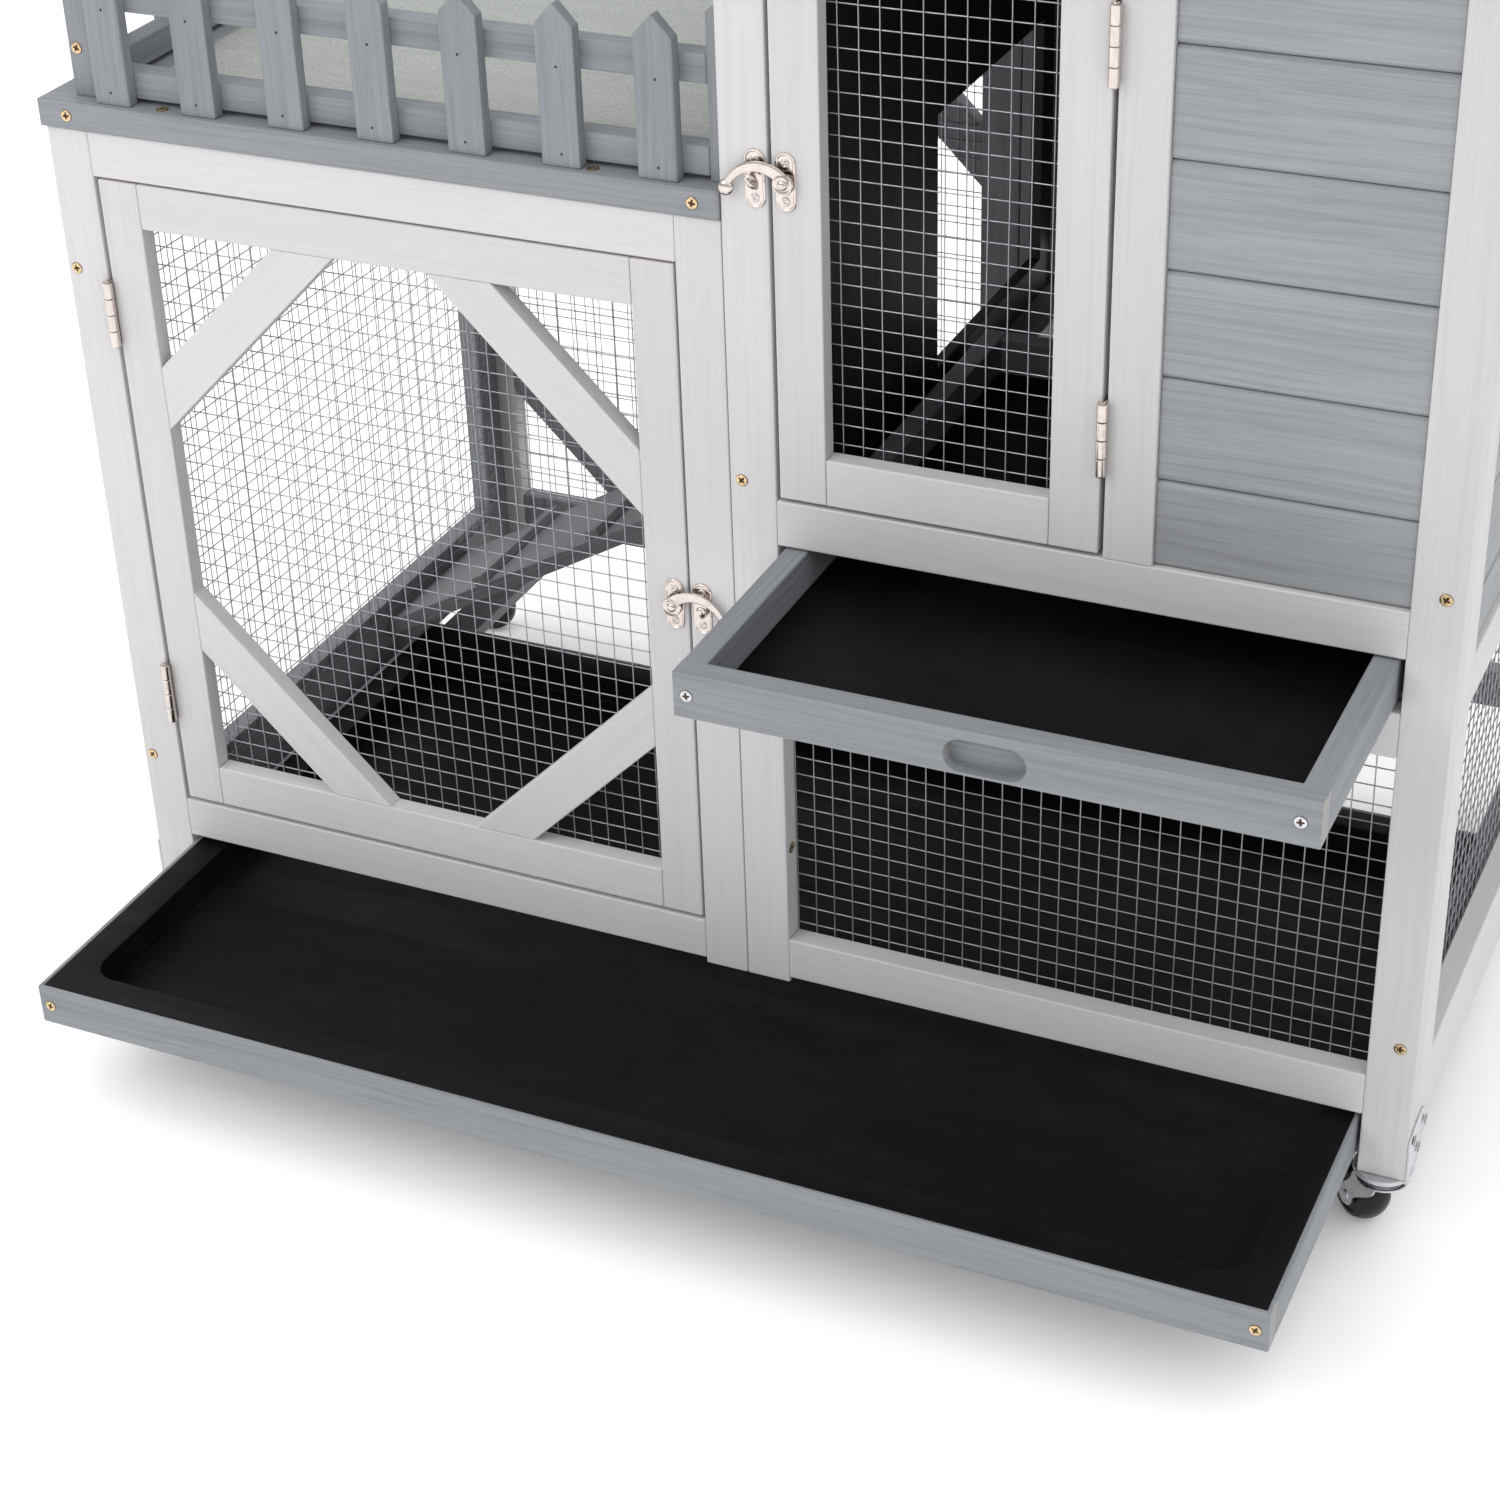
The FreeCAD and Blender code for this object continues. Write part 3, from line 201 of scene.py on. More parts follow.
def metal(name, colour, roughness, spangle=0.0, relief=0.03 * MM):
    """Bare or plated metal with a cloudy finish; spangle adds the facets of hot zinc."""
    s = Shader(name)
    place = s.place()
    clouds = s.noise(place, 160.0, 4.0, 0.6)
    darker = tuple(channel * 0.72 for channel in colour[:3]) + (1.0,)
    shade = s.ramp(clouds, 0.35, 0.70, 0.0, 0.55)
    if spangle:
        facets = s.node("TexVoronoi", {"Vector": place, "Scale": 420.0}).outputs["Color"]
        facet = s.node("SeparateColor", {0: facets}).outputs[0]
        shade = s.math("ADD", shade, s.math("MULTIPLY", facet, spangle))
    s.surface(
        Base_Color=s.mix(shade, colour, darker),
        Roughness=s.ramp(clouds, 0.3, 0.7, roughness - 0.06, roughness + 0.12),
        Normal=s.bump(s.noise(place, 900.0, 3.0), relief, 0.35),
    )
    s.principled.inputs["Metallic"].default_value = 1.0
    return s.material


def mineral_felt(name, light, dark, selvage=None):
    """Roofing felt strewn with crushed slate, bare in front of the selvage line."""
    s = Shader(name)
    place = s.place()
    cells = s.node("TexVoronoi", {"Vector": place, "Scale": 900.0})
    grain = s.node("SeparateColor", {0: cells.outputs["Color"]}).outputs[0]
    streaks = s.noise(s.scaled(place, (12, 90, 90)), 1.0, 5.0, 0.62)
    fine = s.noise(place, 420.0, 4.0, 0.7)
    colour = s.mix(s.ramp(grain, 0.05, 1.0, 0.1, 0.7), light, dark)
    colour = s.mix(s.ramp(streaks, 0.35, 0.72, 0.0, 0.4), colour, dark)
    if selvage is not None:
        depth = s.node("SeparateXYZ", {0: place}).outputs["Y"]
        ragged = s.math("ADD", depth, s.ramp(fine, 0.0, 1.0, -0.5 * MM, 0.5 * MM))
        colour = s.mix(s.math("LESS_THAN", ragged, selvage), colour, rgb(204, 202, 194))
    height = s.math("ADD", s.math("MULTIPLY", cells.outputs["Distance"], 0.8), fine)
    s.surface(
        Base_Color=colour,
        Roughness=s.ramp(grain, 0.0, 1.0, 0.72, 0.95),
        Normal=s.bump(height, 0.3 * MM, 0.6),
    )
    s.principled.inputs["Specular IOR Level"].default_value = 0.25
    return s.material


RAW = rgb(206, 184, 166)
FELT_LIGHT, FELT_DARK = rgb(180, 183, 179), rgb(146, 149, 146)
SELVAGE = 9 * MM
MATERIALS = {
    "white_wood": wood("white_wood", rgb(208, 206, 207), rgb(189, 186, 187), RAW, 0.40, 0.35, 0.08 * MM),
    "grey_wood": wood("grey_wood", rgb(143, 147, 152), rgb(118, 121, 126), rgb(196, 188, 176), 0.7, 0.30),
    "siding": wood("siding", rgb(159, 162, 165), rgb(135, 138, 142), rgb(200, 190, 178), 0.8, 0.40, 0.2 * MM),
    # Grey paint made darker than grey_wood as painted shade, for timbers inside the run where little light
    # reaches.
    "shaded_inner_wood": wood("shaded_inner_wood", rgb(134, 136, 139), rgb(106, 108, 112), rgb(130, 126, 120), 0.7, 0.2),
    "dark_wall": wood("dark_wall", rgb(34, 34, 36), rgb(19, 19, 21), rgb(52, 50, 48), 0.9, 0.10),
    "galvanised_wire": metal("galvanised_wire", rgb(172, 175, 180), 0.46, 0.10),
    "zinc": metal("zinc", rgb(214, 216, 220), 0.26, 0.18),
    "nickel": metal("nickel", rgb(214, 204, 198), 0.13),
    "brass": metal("brass", rgb(222, 194, 152), 0.24),
    "black_plastic": plastic("black_plastic", rgb(9, 9, 10), 0.55, 0.04 * MM, 0.12),
    "wheel_plastic": plastic("wheel_plastic", rgb(20, 20, 22), 0.34, 0.02 * MM, 0.30),
    "felt": mineral_felt("felt", FELT_LIGHT, FELT_DARK),
}
DECK_FELT = mineral_felt("deck_felt", FELT_LIGHT, FELT_DARK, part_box("deck_felt")[0].y + SELVAGE)
NAIL = metal("nail_steel", rgb(70, 70, 74), 0.45)
# Dark brown metal for screw recesses and rims: grime with painted shade, and a painted shadow ring round the head.
GRIME_AND_SHADE = metal("grime_and_shade", rgb(92, 76, 60), 0.55)


# ---- mesh helpers ---------------------------------------------------------------------------

def solid(node):
    """A CAD node's mesh with its triangles joined back into whole faces."""
    bm = bmesh.new()
    bm.from_mesh(frame["nodes"][node].data)
    bmesh.ops.remove_doubles(bm, verts=bm.verts, dist=WELD)
    bmesh.ops.dissolve_limit(bm, angle_limit=FLAT, verts=bm.verts, edges=bm.edges)
    return bm


def islands(bm):
    """The separate solids of a mesh, each as a list of its vertices."""
    bm.verts.ensure_lookup_table()
    seen, found = set(), []
    for first in bm.verts:
        if first.index in seen:
            continue
        seen.add(first.index)
        group = [first]
        for vert in group:
            for edge in vert.link_edges:
                other = edge.other_vert(vert)
                if other.index not in seen:
                    seen.add(other.index)
                    group.append(other)
        found.append(group)
    return found


def extent(verts):
    """Lowest and highest corner of some vertices."""
    low = Vector([min(v.co[i] for v in verts) for i in range(3)])
    high = Vector([max(v.co[i] for v in verts) for i in range(3)])
    return low, high


def solids_of(node):
    """The box of each separate solid in a CAD node."""
    bm = solid(node)
    boxes = [extent(group) for group in islands(bm)]
    bm.free()
    return boxes


def soften(bm, width, segments=2):
    """Rounds every sharp edge and returns the new faces."""
    sharp = [e for e in bm.edges if len(e.link_faces) == 2 and e.calc_face_angle(0) > SHARP]
    made = bmesh.ops.bevel(bm, geom=sharp, offset=width, segments=segments, profile=0.5,
                           affect="EDGES", clamp_overlap=True)
    return made["faces"]


def piece(name, bm, material, body, node=None, smooth=True):
    """Makes the mesh an object that rides on a body and may stand for a CAD node."""
    mesh = bpy.data.meshes.new(name)
    bm.to_mesh(mesh)
    bm.free()
    return object_of(name, mesh, material, body, node, smooth)


def object_of(name, mesh, material, body, node=None, smooth=True):
    """Makes a finished mesh an object; material is one material or a list of them."""
    for one in material if isinstance(material, (list, tuple)) else [material]:
        mesh.materials.append(one)
    if smooth:
        mesh.polygons.foreach_set("use_smooth", [True] * len(mesh.polygons))
        mesh.set_sharp_from_angle(angle=SHARP)
    made = bpy.data.objects.new(name, mesh)
    bpy.context.scene.collection.objects.link(made)
    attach(made, body)
    if node:
        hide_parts(node)
    return made


# Timbers inside the run take shaded_inner_wood: grey paint with painted shade.
INNER = ("back_frame", "ramp", "tower_left_frame", "tray_runners")


def boards(node, inside=None, inside_material="dark_wall"):
    """Rounded timbers with their own grain direction, offset and tone each.

    inside is a function of a face that says whether it takes inside_material, the second material: painted shade
    on the left side frame, near-black dark_wall on the cladding's house side."""
    bm = solid(node)
    rounded = set(soften(bm, BOARD_BEVEL))
    grain = bm.verts.layers.float_vector.new("grain")
    tone = bm.verts.layers.float.new("board")
    edge = bm.faces.layers.float.new("edge")
    end = bm.faces.layers.float.new("end")
    dice = random.Random(node)
    for face in bm.faces:
        face[edge] = 1.0 if face in rounded else 0.0
    for group in islands(bm):
        faces = sorted({f for v in group for f in v.link_faces}, key=lambda f: f.index)
        edges = sorted({e for v in group for e in v.link_edges}, key=lambda e: e.index)
        longest = max(edges, key=lambda e: round(e.calc_length(), 5))
        along = (longest.verts[1].co - longest.verts[0].co).normalized()
        if along.x + along.y * 0.7 + along.z * 0.4 < 0:
            along.negate()
        flank = [f for f in faces if abs(f.normal.dot(along)) < 0.3]
        normal = max(flank, key=lambda f: round(f.calc_area(), 7)).normal.copy()
        third = along.cross(normal)
        start = Vector([dice.uniform(0, 4) for _ in range(3)])
        value = dice.random()
        for vert in group:
            local = Vector((vert.co.dot(along), vert.co.dot(normal), vert.co.dot(third)))
            vert[grain] = local + start
            vert[tone] = value
        for face in faces:
            face[end] = 1.0 if abs(face.normal.dot(along)) > 0.9 and face not in rounded else 0.0
            if inside and inside(face):
                face.material_index = 1
    outside = "shaded_inner_wood" if node in INNER else SLOT_OF[node]
    materials = [MATERIALS[outside]] + ([MATERIALS[inside_material]] if inside else [])
    return piece(node + ".boards", bm, materials, BODY_OF[node], node, smooth=False)


def hardware(node, width=METAL_BEVEL, segments=2):
    """A CAD node of metal or plastic with its edges rounded."""
    bm = solid(node)
    soften(bm, width, segments)
    return piece(node + ".rounded", bm, MATERIALS[SLOT_OF[node]], BODY_OF[node], node)


def bridge(bm, rings, close=True):
    """Skins a list of equal rings of points, each ring a closed loop, and caps both ends."""
    loops = [[bm.verts.new(point) for point in ring] for ring in rings]
    count = len(rings[0])
    for a, b in zip(loops, loops[1:]):
        for i in range(count):
            j = (i + 1) % count
            bm.faces.new((a[i], a[j], b[j], b[i]))
    if close:
        bm.faces.new(list(reversed(loops[0])))
        bm.faces.new(loops[-1])


def lathe(bm, profile, centre, axis, spokes=64):
    """Turns (radius, height) points about an axis through centre.

    Both ends are capped, also those of a profile that closes on itself."""
    turn = axis.to_track_quat("Z", "Y")
    rings = []
    for radius, height in profile:
        ring = []
        for i in range(spokes):
            a = math.tau * i / spokes
            ring.append(centre + turn @ Vector((radius * math.cos(a), radius * math.sin(a), height)))
        rings.append(ring)
    bridge(bm, rings)


def in_metres(profile):
    """A lathe profile given in millimetres."""
    return [(radius * MM, height * MM) for radius, height in profile]


# ---- wire mesh ------------------------------------------------------------------------------

WIRE_SIDES = 6
WIRE_STEP = 6.35 * MM
WIRE_WAVE = 0.40 * MM
WIRE_KINK = 0.03 * MM
WIRE_DRIFT_SCALE = 11.0
WIRE_DRAWN = 0.92  # a round wire's diameter as a part of the square bar's side


def drift(point):
    """How far hand-stretched mesh strays from its true plane and pitch at a place.

    noise_vector takes its offsets from the clock when no seed is set, so the wires lie up to about
    half a millimetre differently from run to run."""
    return noise.noise_vector(point * WIRE_DRIFT_SCALE) * WIRE_WAVE


def wire_mesh(node):
    """Round drawn wires on the lines of the CAD bars, with a little slack."""
    verts, faces = [], []
    dice = random.Random(node)
    for low, high in solids_of(node):
        size = high - low
        long = max(range(3), key=lambda i: size[i])
        other = [i for i in range(3) if i != long]
        radius = min(size[other[0]], size[other[1]]) / 2 * WIRE_DRAWN
        steps = max(2, round(size[long] / WIRE_STEP))
        centre = (low + high) / 2
        for k in range(steps + 1):
            spine = centre.copy()
            spine[long] = low[long] + size[long] * k / steps
            away = drift(spine)
            for i in other:
                spine[i] += away[i] + dice.uniform(-WIRE_KINK, WIRE_KINK)
            for n in range(WIRE_SIDES):
                a = math.tau * n / WIRE_SIDES
                rim = spine.copy()
                rim[other[0]] += radius * math.cos(a)
                rim[other[1]] += radius * math.sin(a)
                verts.append(rim)
        base = len(verts) - (steps + 1) * WIRE_SIDES
        for k in range(steps):
            for n in range(WIRE_SIDES):
                m = (n + 1) % WIRE_SIDES
                a = base + k * WIRE_SIDES
                b = a + WIRE_SIDES
                faces.append((a + n, a + m, b + m, b + n))
        faces.append(tuple(base + n for n in reversed(range(WIRE_SIDES))))
        faces.append(tuple(base + steps * WIRE_SIDES + n for n in range(WIRE_SIDES)))
    mesh = bpy.data.meshes.new(node + ".wires")
    mesh.from_pydata(verts, [], faces)
    bm = bmesh.new()
    bm.from_mesh(mesh)
    bmesh.ops.recalc_face_normals(bm, faces=bm.faces)
    bm.to_mesh(mesh)
    bm.free()
    return object_of(node + ".wires", mesh, MATERIALS["galvanised_wire"], BODY_OF[node], node)


# ---- screws ---------------------------------------------------------------------------------

# Recess faces take grime with painted shade; the rim ring is a painted shadow of the countersink.
RIM_FROM, RECESS_WITHIN = 0.90, 0.72  # of the head's radius
RECESS_BELOW = 0.48 * MM
SCREW_DOME, RECESS_DEPTH = 0.78 * MM, 0.74 * MM
WING_HALF_WIDE, WING_FADE, WING_LONG = 0.13, 0.05, 0.66  # of the head's radius
SCREW_RINGS = 14
SCREW_SPOKES = 48


def screw_height(x, y, radius):
    """Height of a countersunk head with a cross recess, at a place on its face."""
    r = math.hypot(x, y) / radius
    dome = SCREW_DOME * (1 - 0.22 * r ** 2 - 0.6 * r ** 14)
    wing_long = max(abs(x), abs(y)) / radius
    wing_wide = min(abs(x), abs(y)) / radius
    inside = max(0.0, 1 - max(0.0, wing_wide - WING_HALF_WIDE) / WING_FADE)
    reach = max(0.0, 1 - (wing_long / WING_LONG) ** 3)
    return dome - RECESS_DEPTH * min(1.0, inside) * reach


def add_screw(bm, centre, outward, radius, spin):
    """Adds a screw head; its recess and rim take the second material, which on wood screws is grime with painted
    shade in the recess and a painted shadow ring at the rim.
    """
    old = set(bm.faces)
    turn = outward.to_track_quat("Z", "Y") @ Quaternion((0, 0, 1), spin)
    rings = []
    for k in range(1, SCREW_RINGS + 1):
        r = radius * k / SCREW_RINGS
        ring = []
        for i in range(SCREW_SPOKES):
            a = math.tau * i / SCREW_SPOKES
            x, y = r * math.cos(a), r * math.sin(a)
            ring.append(centre + turn @ Vector((x, y, screw_height(x, y, radius))))
        rings.append(ring)
    skirt = [centre + turn @ Vector((radius * math.cos(math.tau * i / SCREW_SPOKES),
                                     radius * math.sin(math.tau * i / SCREW_SPOKES), 0))
             for i in range(SCREW_SPOKES)]
    bridge(bm, [skirt] + rings[::-1])
    for face in set(bm.faces) - old:
        away = face.calc_center_median() - centre
        height = away.dot(outward)
        reach = (away - outward * height).length
        if reach > RIM_FROM * radius or (height < RECESS_BELOW and reach < RECESS_WITHIN * radius):
            face.material_index = 1


def screws(node):
    """Countersunk cross-head screws where the CAD has plain heads."""
    bm = bmesh.new()
    dice = random.Random(node)
    for low, high in solids_of(node):
        size = high - low
        thin = min(range(3), key=lambda i: size[i])
        outward = Vector((0, 0, 0))
        outward[thin] = -1.0 if thin == 1 else 1.0
        centre = (low + high) / 2
        centre[thin] = high[thin] if thin == 1 else low[thin]
        radius = sorted(size)[-1] / 2
        add_screw(bm, centre, outward, radius, dice.uniform(0, math.pi / 2))
    return piece(node + ".heads", bm, [MATERIALS[SLOT_OF[node]], GRIME_AND_SHADE], BODY_OF[node], node)


# ---- latches --------------------------------------------------------------------------------

ARM_CENTRE = (15.0 * MM, -12.5 * MM)
ARM_RADIUS = 21.5 * MM
ARM_START, ARM_END = math.radians(140), math.radians(18)
ARM_WIDE = (3.7 * MM, 1.5 * MM)
ARM_THICK = 1.1 * MM
ARM_SQUARE = 0.45  # 1 gives an oval section, less a squarer one
OUTLINE = 48
ARM_STEPS = 28
PLATE_WAIST = 0.13  # how far the plate draws in between its lobes
PLATE_SCREW_R = 2.7 * MM
PLATE_STEPS = ((0.0, 0.0), (0.0, 0.9), (0.35, 1.25), (1.0, 1.3), (1.5, 0.95), (3.0, 0.9))  # inset, depth
POST_PROFILE = ((3.1, 0.6), (3.0, 1.5), (2.4, 2.2), (2.2, 3.2))
EYE_PROFILE = ((6.0, -1.3), (6.4, -0.9), (6.4, 0.5), (6.0, 1.1), (5.0, 1.35), (3.9, 0.9), (3.2, 0.9))
RIVET_PROFILE = ((3.0, 1.7), (2.4, 2.4), (1.3, 2.75), (0.3, 2.8))
FINGER_R, FINGER_HALF, FINGER_STEPS = 4.9, 2.6, 12


def plate_outline(half_wide, half_tall, inset, depth, centre):
    """A two-lobed plate outline, drawn in from its edge by inset."""
    wide, tall = half_wide - inset, half_tall - inset
    straight = half_tall - half_wide
    points = []
    for i in range(OUTLINE):
        a = math.tau * (i + 0.5) / OUTLINE
        x = wide * math.cos(a)
        z = wide * math.sin(a) + (straight if math.sin(a) > 0 else -straight)
        x *= 1 - PLATE_WAIST * math.exp(-((z / (0.32 * tall)) ** 2))
        points.append(centre + Vector((x, -depth, z)))
    return points


def add_plate(bm, centre, half_wide, half_tall):
    """A pressed plate with a raised rim and a screw in each lobe."""
    rings = []
    for inset, depth in in_metres(PLATE_STEPS):
        rings.append(plate_outline(half_wide, half_tall, inset, depth, centre))
    bridge(bm, rings)
    for side in (-1, 1):
        place = centre + Vector((0, -0.9 * MM, side * (half_tall - half_wide)))
        add_screw(bm, place, Vector((0, -1, 0)), PLATE_SCREW_R, 0.4 + side)


def sweep(bm, path, widths, thicks):
    """An oval bar along a path in an upright plane, capped flat at its ends."""
    rings = []
    for k, point in enumerate(path):
        before = path[max(k - 1, 0)]
        after = path[min(k + 1, len(path) - 1)]
        along = (after - before).normalized()
        side = along.cross(Vector((0, 1, 0))).normalized()
        ring = []
        for i in range(16):
            a = math.tau * (i + 0.5) / 16
            across, deep = (math.copysign(abs(w) ** ARM_SQUARE, w) for w in (math.cos(a), math.sin(a)))
            ring.append(point + side * (widths[k] * across) + Vector((0, thicks[k] * deep, 0)))
        rings.append(ring)
    bridge(bm, rings)


def latch(name, side):
    """Door plate and bowed arm; side is the way the arm points, 1 for +X."""
    low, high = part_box(name + "_latch_plate")
    half_wide, half_tall = (high.x - low.x) / 2, (high.z - low.z) / 2
    pivot = Vector(((low.x + high.x) / 2, high.y, (low.z + high.z) / 2))
    body = BODY_OF[name + "_latch_plate"]
    bm = bmesh.new()
    add_plate(bm, pivot, half_wide, half_tall)
    lathe(bm, in_metres(POST_PROFILE), pivot, Vector((0, -1, 0)), 32)
    plate = name + "_latch_plate"
    piece(plate + ".pressed", bm, [MATERIALS["nickel"], MATERIALS["zinc"]], body, plate)

    arm_low, arm_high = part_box(name + "_latch_arm")
    depth = (arm_low.y + arm_high.y) / 2
    eye = Vector((pivot.x, depth, pivot.z))
    path, widths, thicks = [], [], []
    for k in range(ARM_STEPS + 1):
        t = k / ARM_STEPS
        a = ARM_START + (ARM_END - ARM_START) * t
        x = side * (ARM_CENTRE[0] + ARM_RADIUS * math.cos(a))
        path.append(eye + Vector((x, 0, ARM_CENTRE[1] + ARM_RADIUS * math.sin(a))))
        widths.append(ARM_WIDE[0] + (ARM_WIDE[1] - ARM_WIDE[0]) * t ** 1.6)
        thicks.append(ARM_THICK * (1 - 0.2 * t))
    bm = bmesh.new()
    sweep(bm, path, widths, thicks)
    ball = path[-1]
    angles = [math.pi * i / FINGER_STEPS for i in range(1, FINGER_STEPS)]
    finger = [(FINGER_R * math.sin(a), -FINGER_HALF * math.cos(a)) for a in angles]
    lathe(bm, in_metres(finger), ball, Vector((0, -1, 0)), 32)
    lathe(bm, in_metres(EYE_PROFILE + RIVET_PROFILE), eye, Vector((0, -1, 0)), 40)
    arm_body = BODY_OF[name + "_latch_arm"]
    piece(name + "_latch_arm.cast", bm, MATERIALS["nickel"], arm_body, name + "_latch_arm")


HOOK_PATH = ((0.0, 0.6, -4.6), (-0.4, 2.2, -4.2), (-1.4, 3.6, -2.9), (-2.6, 4.6, -1.0), (-3.3, 5.2, 1.0),
             (-2.6, 5.6, 2.5), (-0.9, 5.7, 2.9), (0.8, 5.4, 2.2), (1.7, 4.9, 1.0))
HOOK_RADII = (2.1, 2.0, 1.8, 1.6, 1.5, 1.4, 1.2, 1.0, 0.6)


def add_tube(bm, path, radii):
    """A round bar along any path, its section kept from twisting."""
    rings = []
    side = Vector((1, 0, 0))
    for k, point in enumerate(path):
        along = (path[min(k + 1, len(path) - 1)] - path[max(k - 1, 0)]).normalized()
        side = (side - along * side.dot(along)).normalized()
        other = along.cross(side)
        angles = [math.tau * i / 16 for i in range(16)]
        rings.append([point + (side * math.cos(a) + other * math.sin(a)) * radii[k] for a in angles])
    bridge(bm, rings)


def catches():
    """Catch plates on the posts, each with a small curled hook."""
    bm = bmesh.new()
    for low, high in solids_of("latch_catches"):
        centre = Vector(((low.x + high.x) / 2, high.y, (low.z + high.z) / 2))
        add_plate(bm, centre, (high.x - low.x) / 2, (high.z - low.z) / 2)
        towards_arm = 1 if centre.z > 0.5 else -1
        path = [centre + Vector((towards_arm * x * MM, -y * MM, z * MM)) for x, y, z in HOOK_PATH]
        add_tube(bm, path, [r * MM for r in HOOK_RADII])
    node = "latch_catches"
    piece(node + ".pressed", bm, [MATERIALS["nickel"], MATERIALS["zinc"]], BODY_OF[node], node)


# ---- casters --------------------------------------------------------------------------------

CORNERS = ("front_left", "front_right", "back_left", "back_right")
WHEEL_HALF, WHEEL_CROWN = 11.0 * MM, 4.5 * MM
WHEEL_BORE_R, WHEEL_RECESS = 3.1 * MM, 0.8 * MM
TREAD_STEPS = 25
AXLE_R, AXLE_HALF = 2.95 * MM, 13.0 * MM
SHEET = 1.5 * MM
HEAD_TO_LEG = 0.7 * MM
HEAD_PROFILE = ((4.2, -2.0), (15.4, -2.0), (16.6, -1.6), (17.0, -1.0), (16.6, -0.35), (15.4, 0.0), (4.2, 0.0))
BOSS_PROFILE = ((3.7, 12.9), (3.7, 13.6), (3.2, 14.3), (2.0, 14.7), (0.5, 14.8))


def wheel(corner):
    """A fat moulded wheel with a crowned tread, recessed sides and a hub."""
    node = "caster_wheel_" + corner
    joint = next(j for j in frame["joints"] if j["name"] == "roll_" + corner)
    centre, axis = Vector(joint["pos_m"]), Vector(joint["axis"])
    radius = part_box(node)[1].z - centre.z
    half, hub, recess = WHEEL_HALF, WHEEL_BORE_R, WHEEL_RECESS
    bow = (half ** 2 + WHEEL_CROWN ** 2) / (2 * WHEEL_CROWN)
    side = [(hub, -half), (0.24 * radius, -half), (0.27 * radius, -half + recess)]
    side += [(0.60 * radius, -half + recess), (0.64 * radius, -half + 0.15 * MM)]
    side += [(0.70 * radius, -half + 0.1 * MM)]
    tread = []
    for i in range(TREAD_STEPS):
        t = -half + 2 * half * (i + 0.5) / TREAD_STEPS
        tread.append((radius - bow + math.sqrt(bow ** 2 - t ** 2), t))
    far = [(r, -h) for r, h in reversed(side)]
    bm = bmesh.new()
    lathe(bm, side + tread + far + [side[0]], centre, axis, 72)
    bmesh.ops.recalc_face_normals(bm, faces=bm.faces)
    piece(node + ".moulded", bm, MATERIALS["wheel_plastic"], BODY_OF[node], node)


def yaw_of(corner):
    """A place on the swivel's axis, the wheel's centre, and the level way from one to the other."""
    pivot = Vector(next(j for j in frame["joints"] if j["name"] == "swivel_" + corner)["pos_m"])
    hub = Vector(next(j for j in frame["joints"] if j["name"] == "roll_" + corner)["pos_m"])
    away = Vector((hub.x - pivot.x, hub.y - pivot.y, 0))
    return pivot, hub, away


def fork(corner):
    """A pressed fork: a round head whose rim runs down into two legs with round feet."""
    node = "caster_fork_" + corner
    pivot, hub, away = yaw_of(corner)
    trail = away.length
    along = away.normalized()
    across = Vector((-along.y, along.x, 0))
    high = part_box(node)[1]
    top = high.z - HEAD_TO_LEG
    bm = bmesh.new()
    crown = Vector((pivot.x, pivot.y, high.z))
    lathe(bm, in_metres(HEAD_PROFILE + HEAD_PROFILE[:1]), crown, Vector((0, 0, 1)), 64)
    for side in (-1, 1):
        rows = []
        for depth, drop, first, last in leg_rows(trail / MM, (top - hub.z) / MM):
            row = []
            for k in range(LEG_COLUMNS + 1):
                x = first + (last - first) * k / LEG_COLUMNS
                row.append(Vector((pivot.x, pivot.y, top)) + along * (x * MM)
                           + across * (side * depth * MM) - Vector((0, 0, drop * MM)))
            rows.append(row)
        add_sheet(bm, rows, SHEET)
        lathe(bm, in_metres(BOSS_PROFILE), hub, across * side, 32)
    lathe(bm, [(AXLE_R, -AXLE_HALF), (AXLE_R, AXLE_HALF)], hub, across, 32)
    bmesh.ops.recalc_face_normals(bm, faces=bm.faces)
    piece(node + ".pressed", bm, MATERIALS["zinc"], BODY_OF[node], node)


LEG_COLUMNS = 12
# All in mm from the swivel's axis: across, then both ends along the trail.
BEND_FROM, BEND_R, LEG_OUT = 9.0, 3.8, 12.8
HEAD_ENDS, LEG_ENDS = (-10.5, 12.5), (-8.7, 13.7)
FOOT_R = 7.0


def leg_rows(trail, drop):
    """Rows down a leg in mm: distance from the middle, drop, and both ends along the trail."""
    rows = [(BEND_FROM, 0.0, HEAD_ENDS[0], HEAD_ENDS[1])]
    for i in range(1, 7):
        a = math.pi / 2 * i / 6
        out, drop_here = BEND_FROM + BEND_R * math.sin(a), BEND_R * (1 - math.cos(a))
        rows.append((out, drop_here, HEAD_ENDS[0] + 0.3 * i, HEAD_ENDS[1] + 0.2 * i))
    for i in range(1, 11):
        t = i / 10
        ease = t * t * (3 - 2 * t)
        first = LEG_ENDS[0] + (trail - FOOT_R - LEG_ENDS[0]) * ease
        last = LEG_ENDS[1] + (trail + FOOT_R - LEG_ENDS[1]) * ease
        rows.append((LEG_OUT, BEND_R + (drop - BEND_R) * t, first, last))
    for i in range(1, 9):
        a = math.pi / 2 * i / 8.4
        reach = FOOT_R * math.cos(a)
        rows.append((LEG_OUT, drop + FOOT_R * math.sin(a), trail - reach, trail + reach))
    return rows


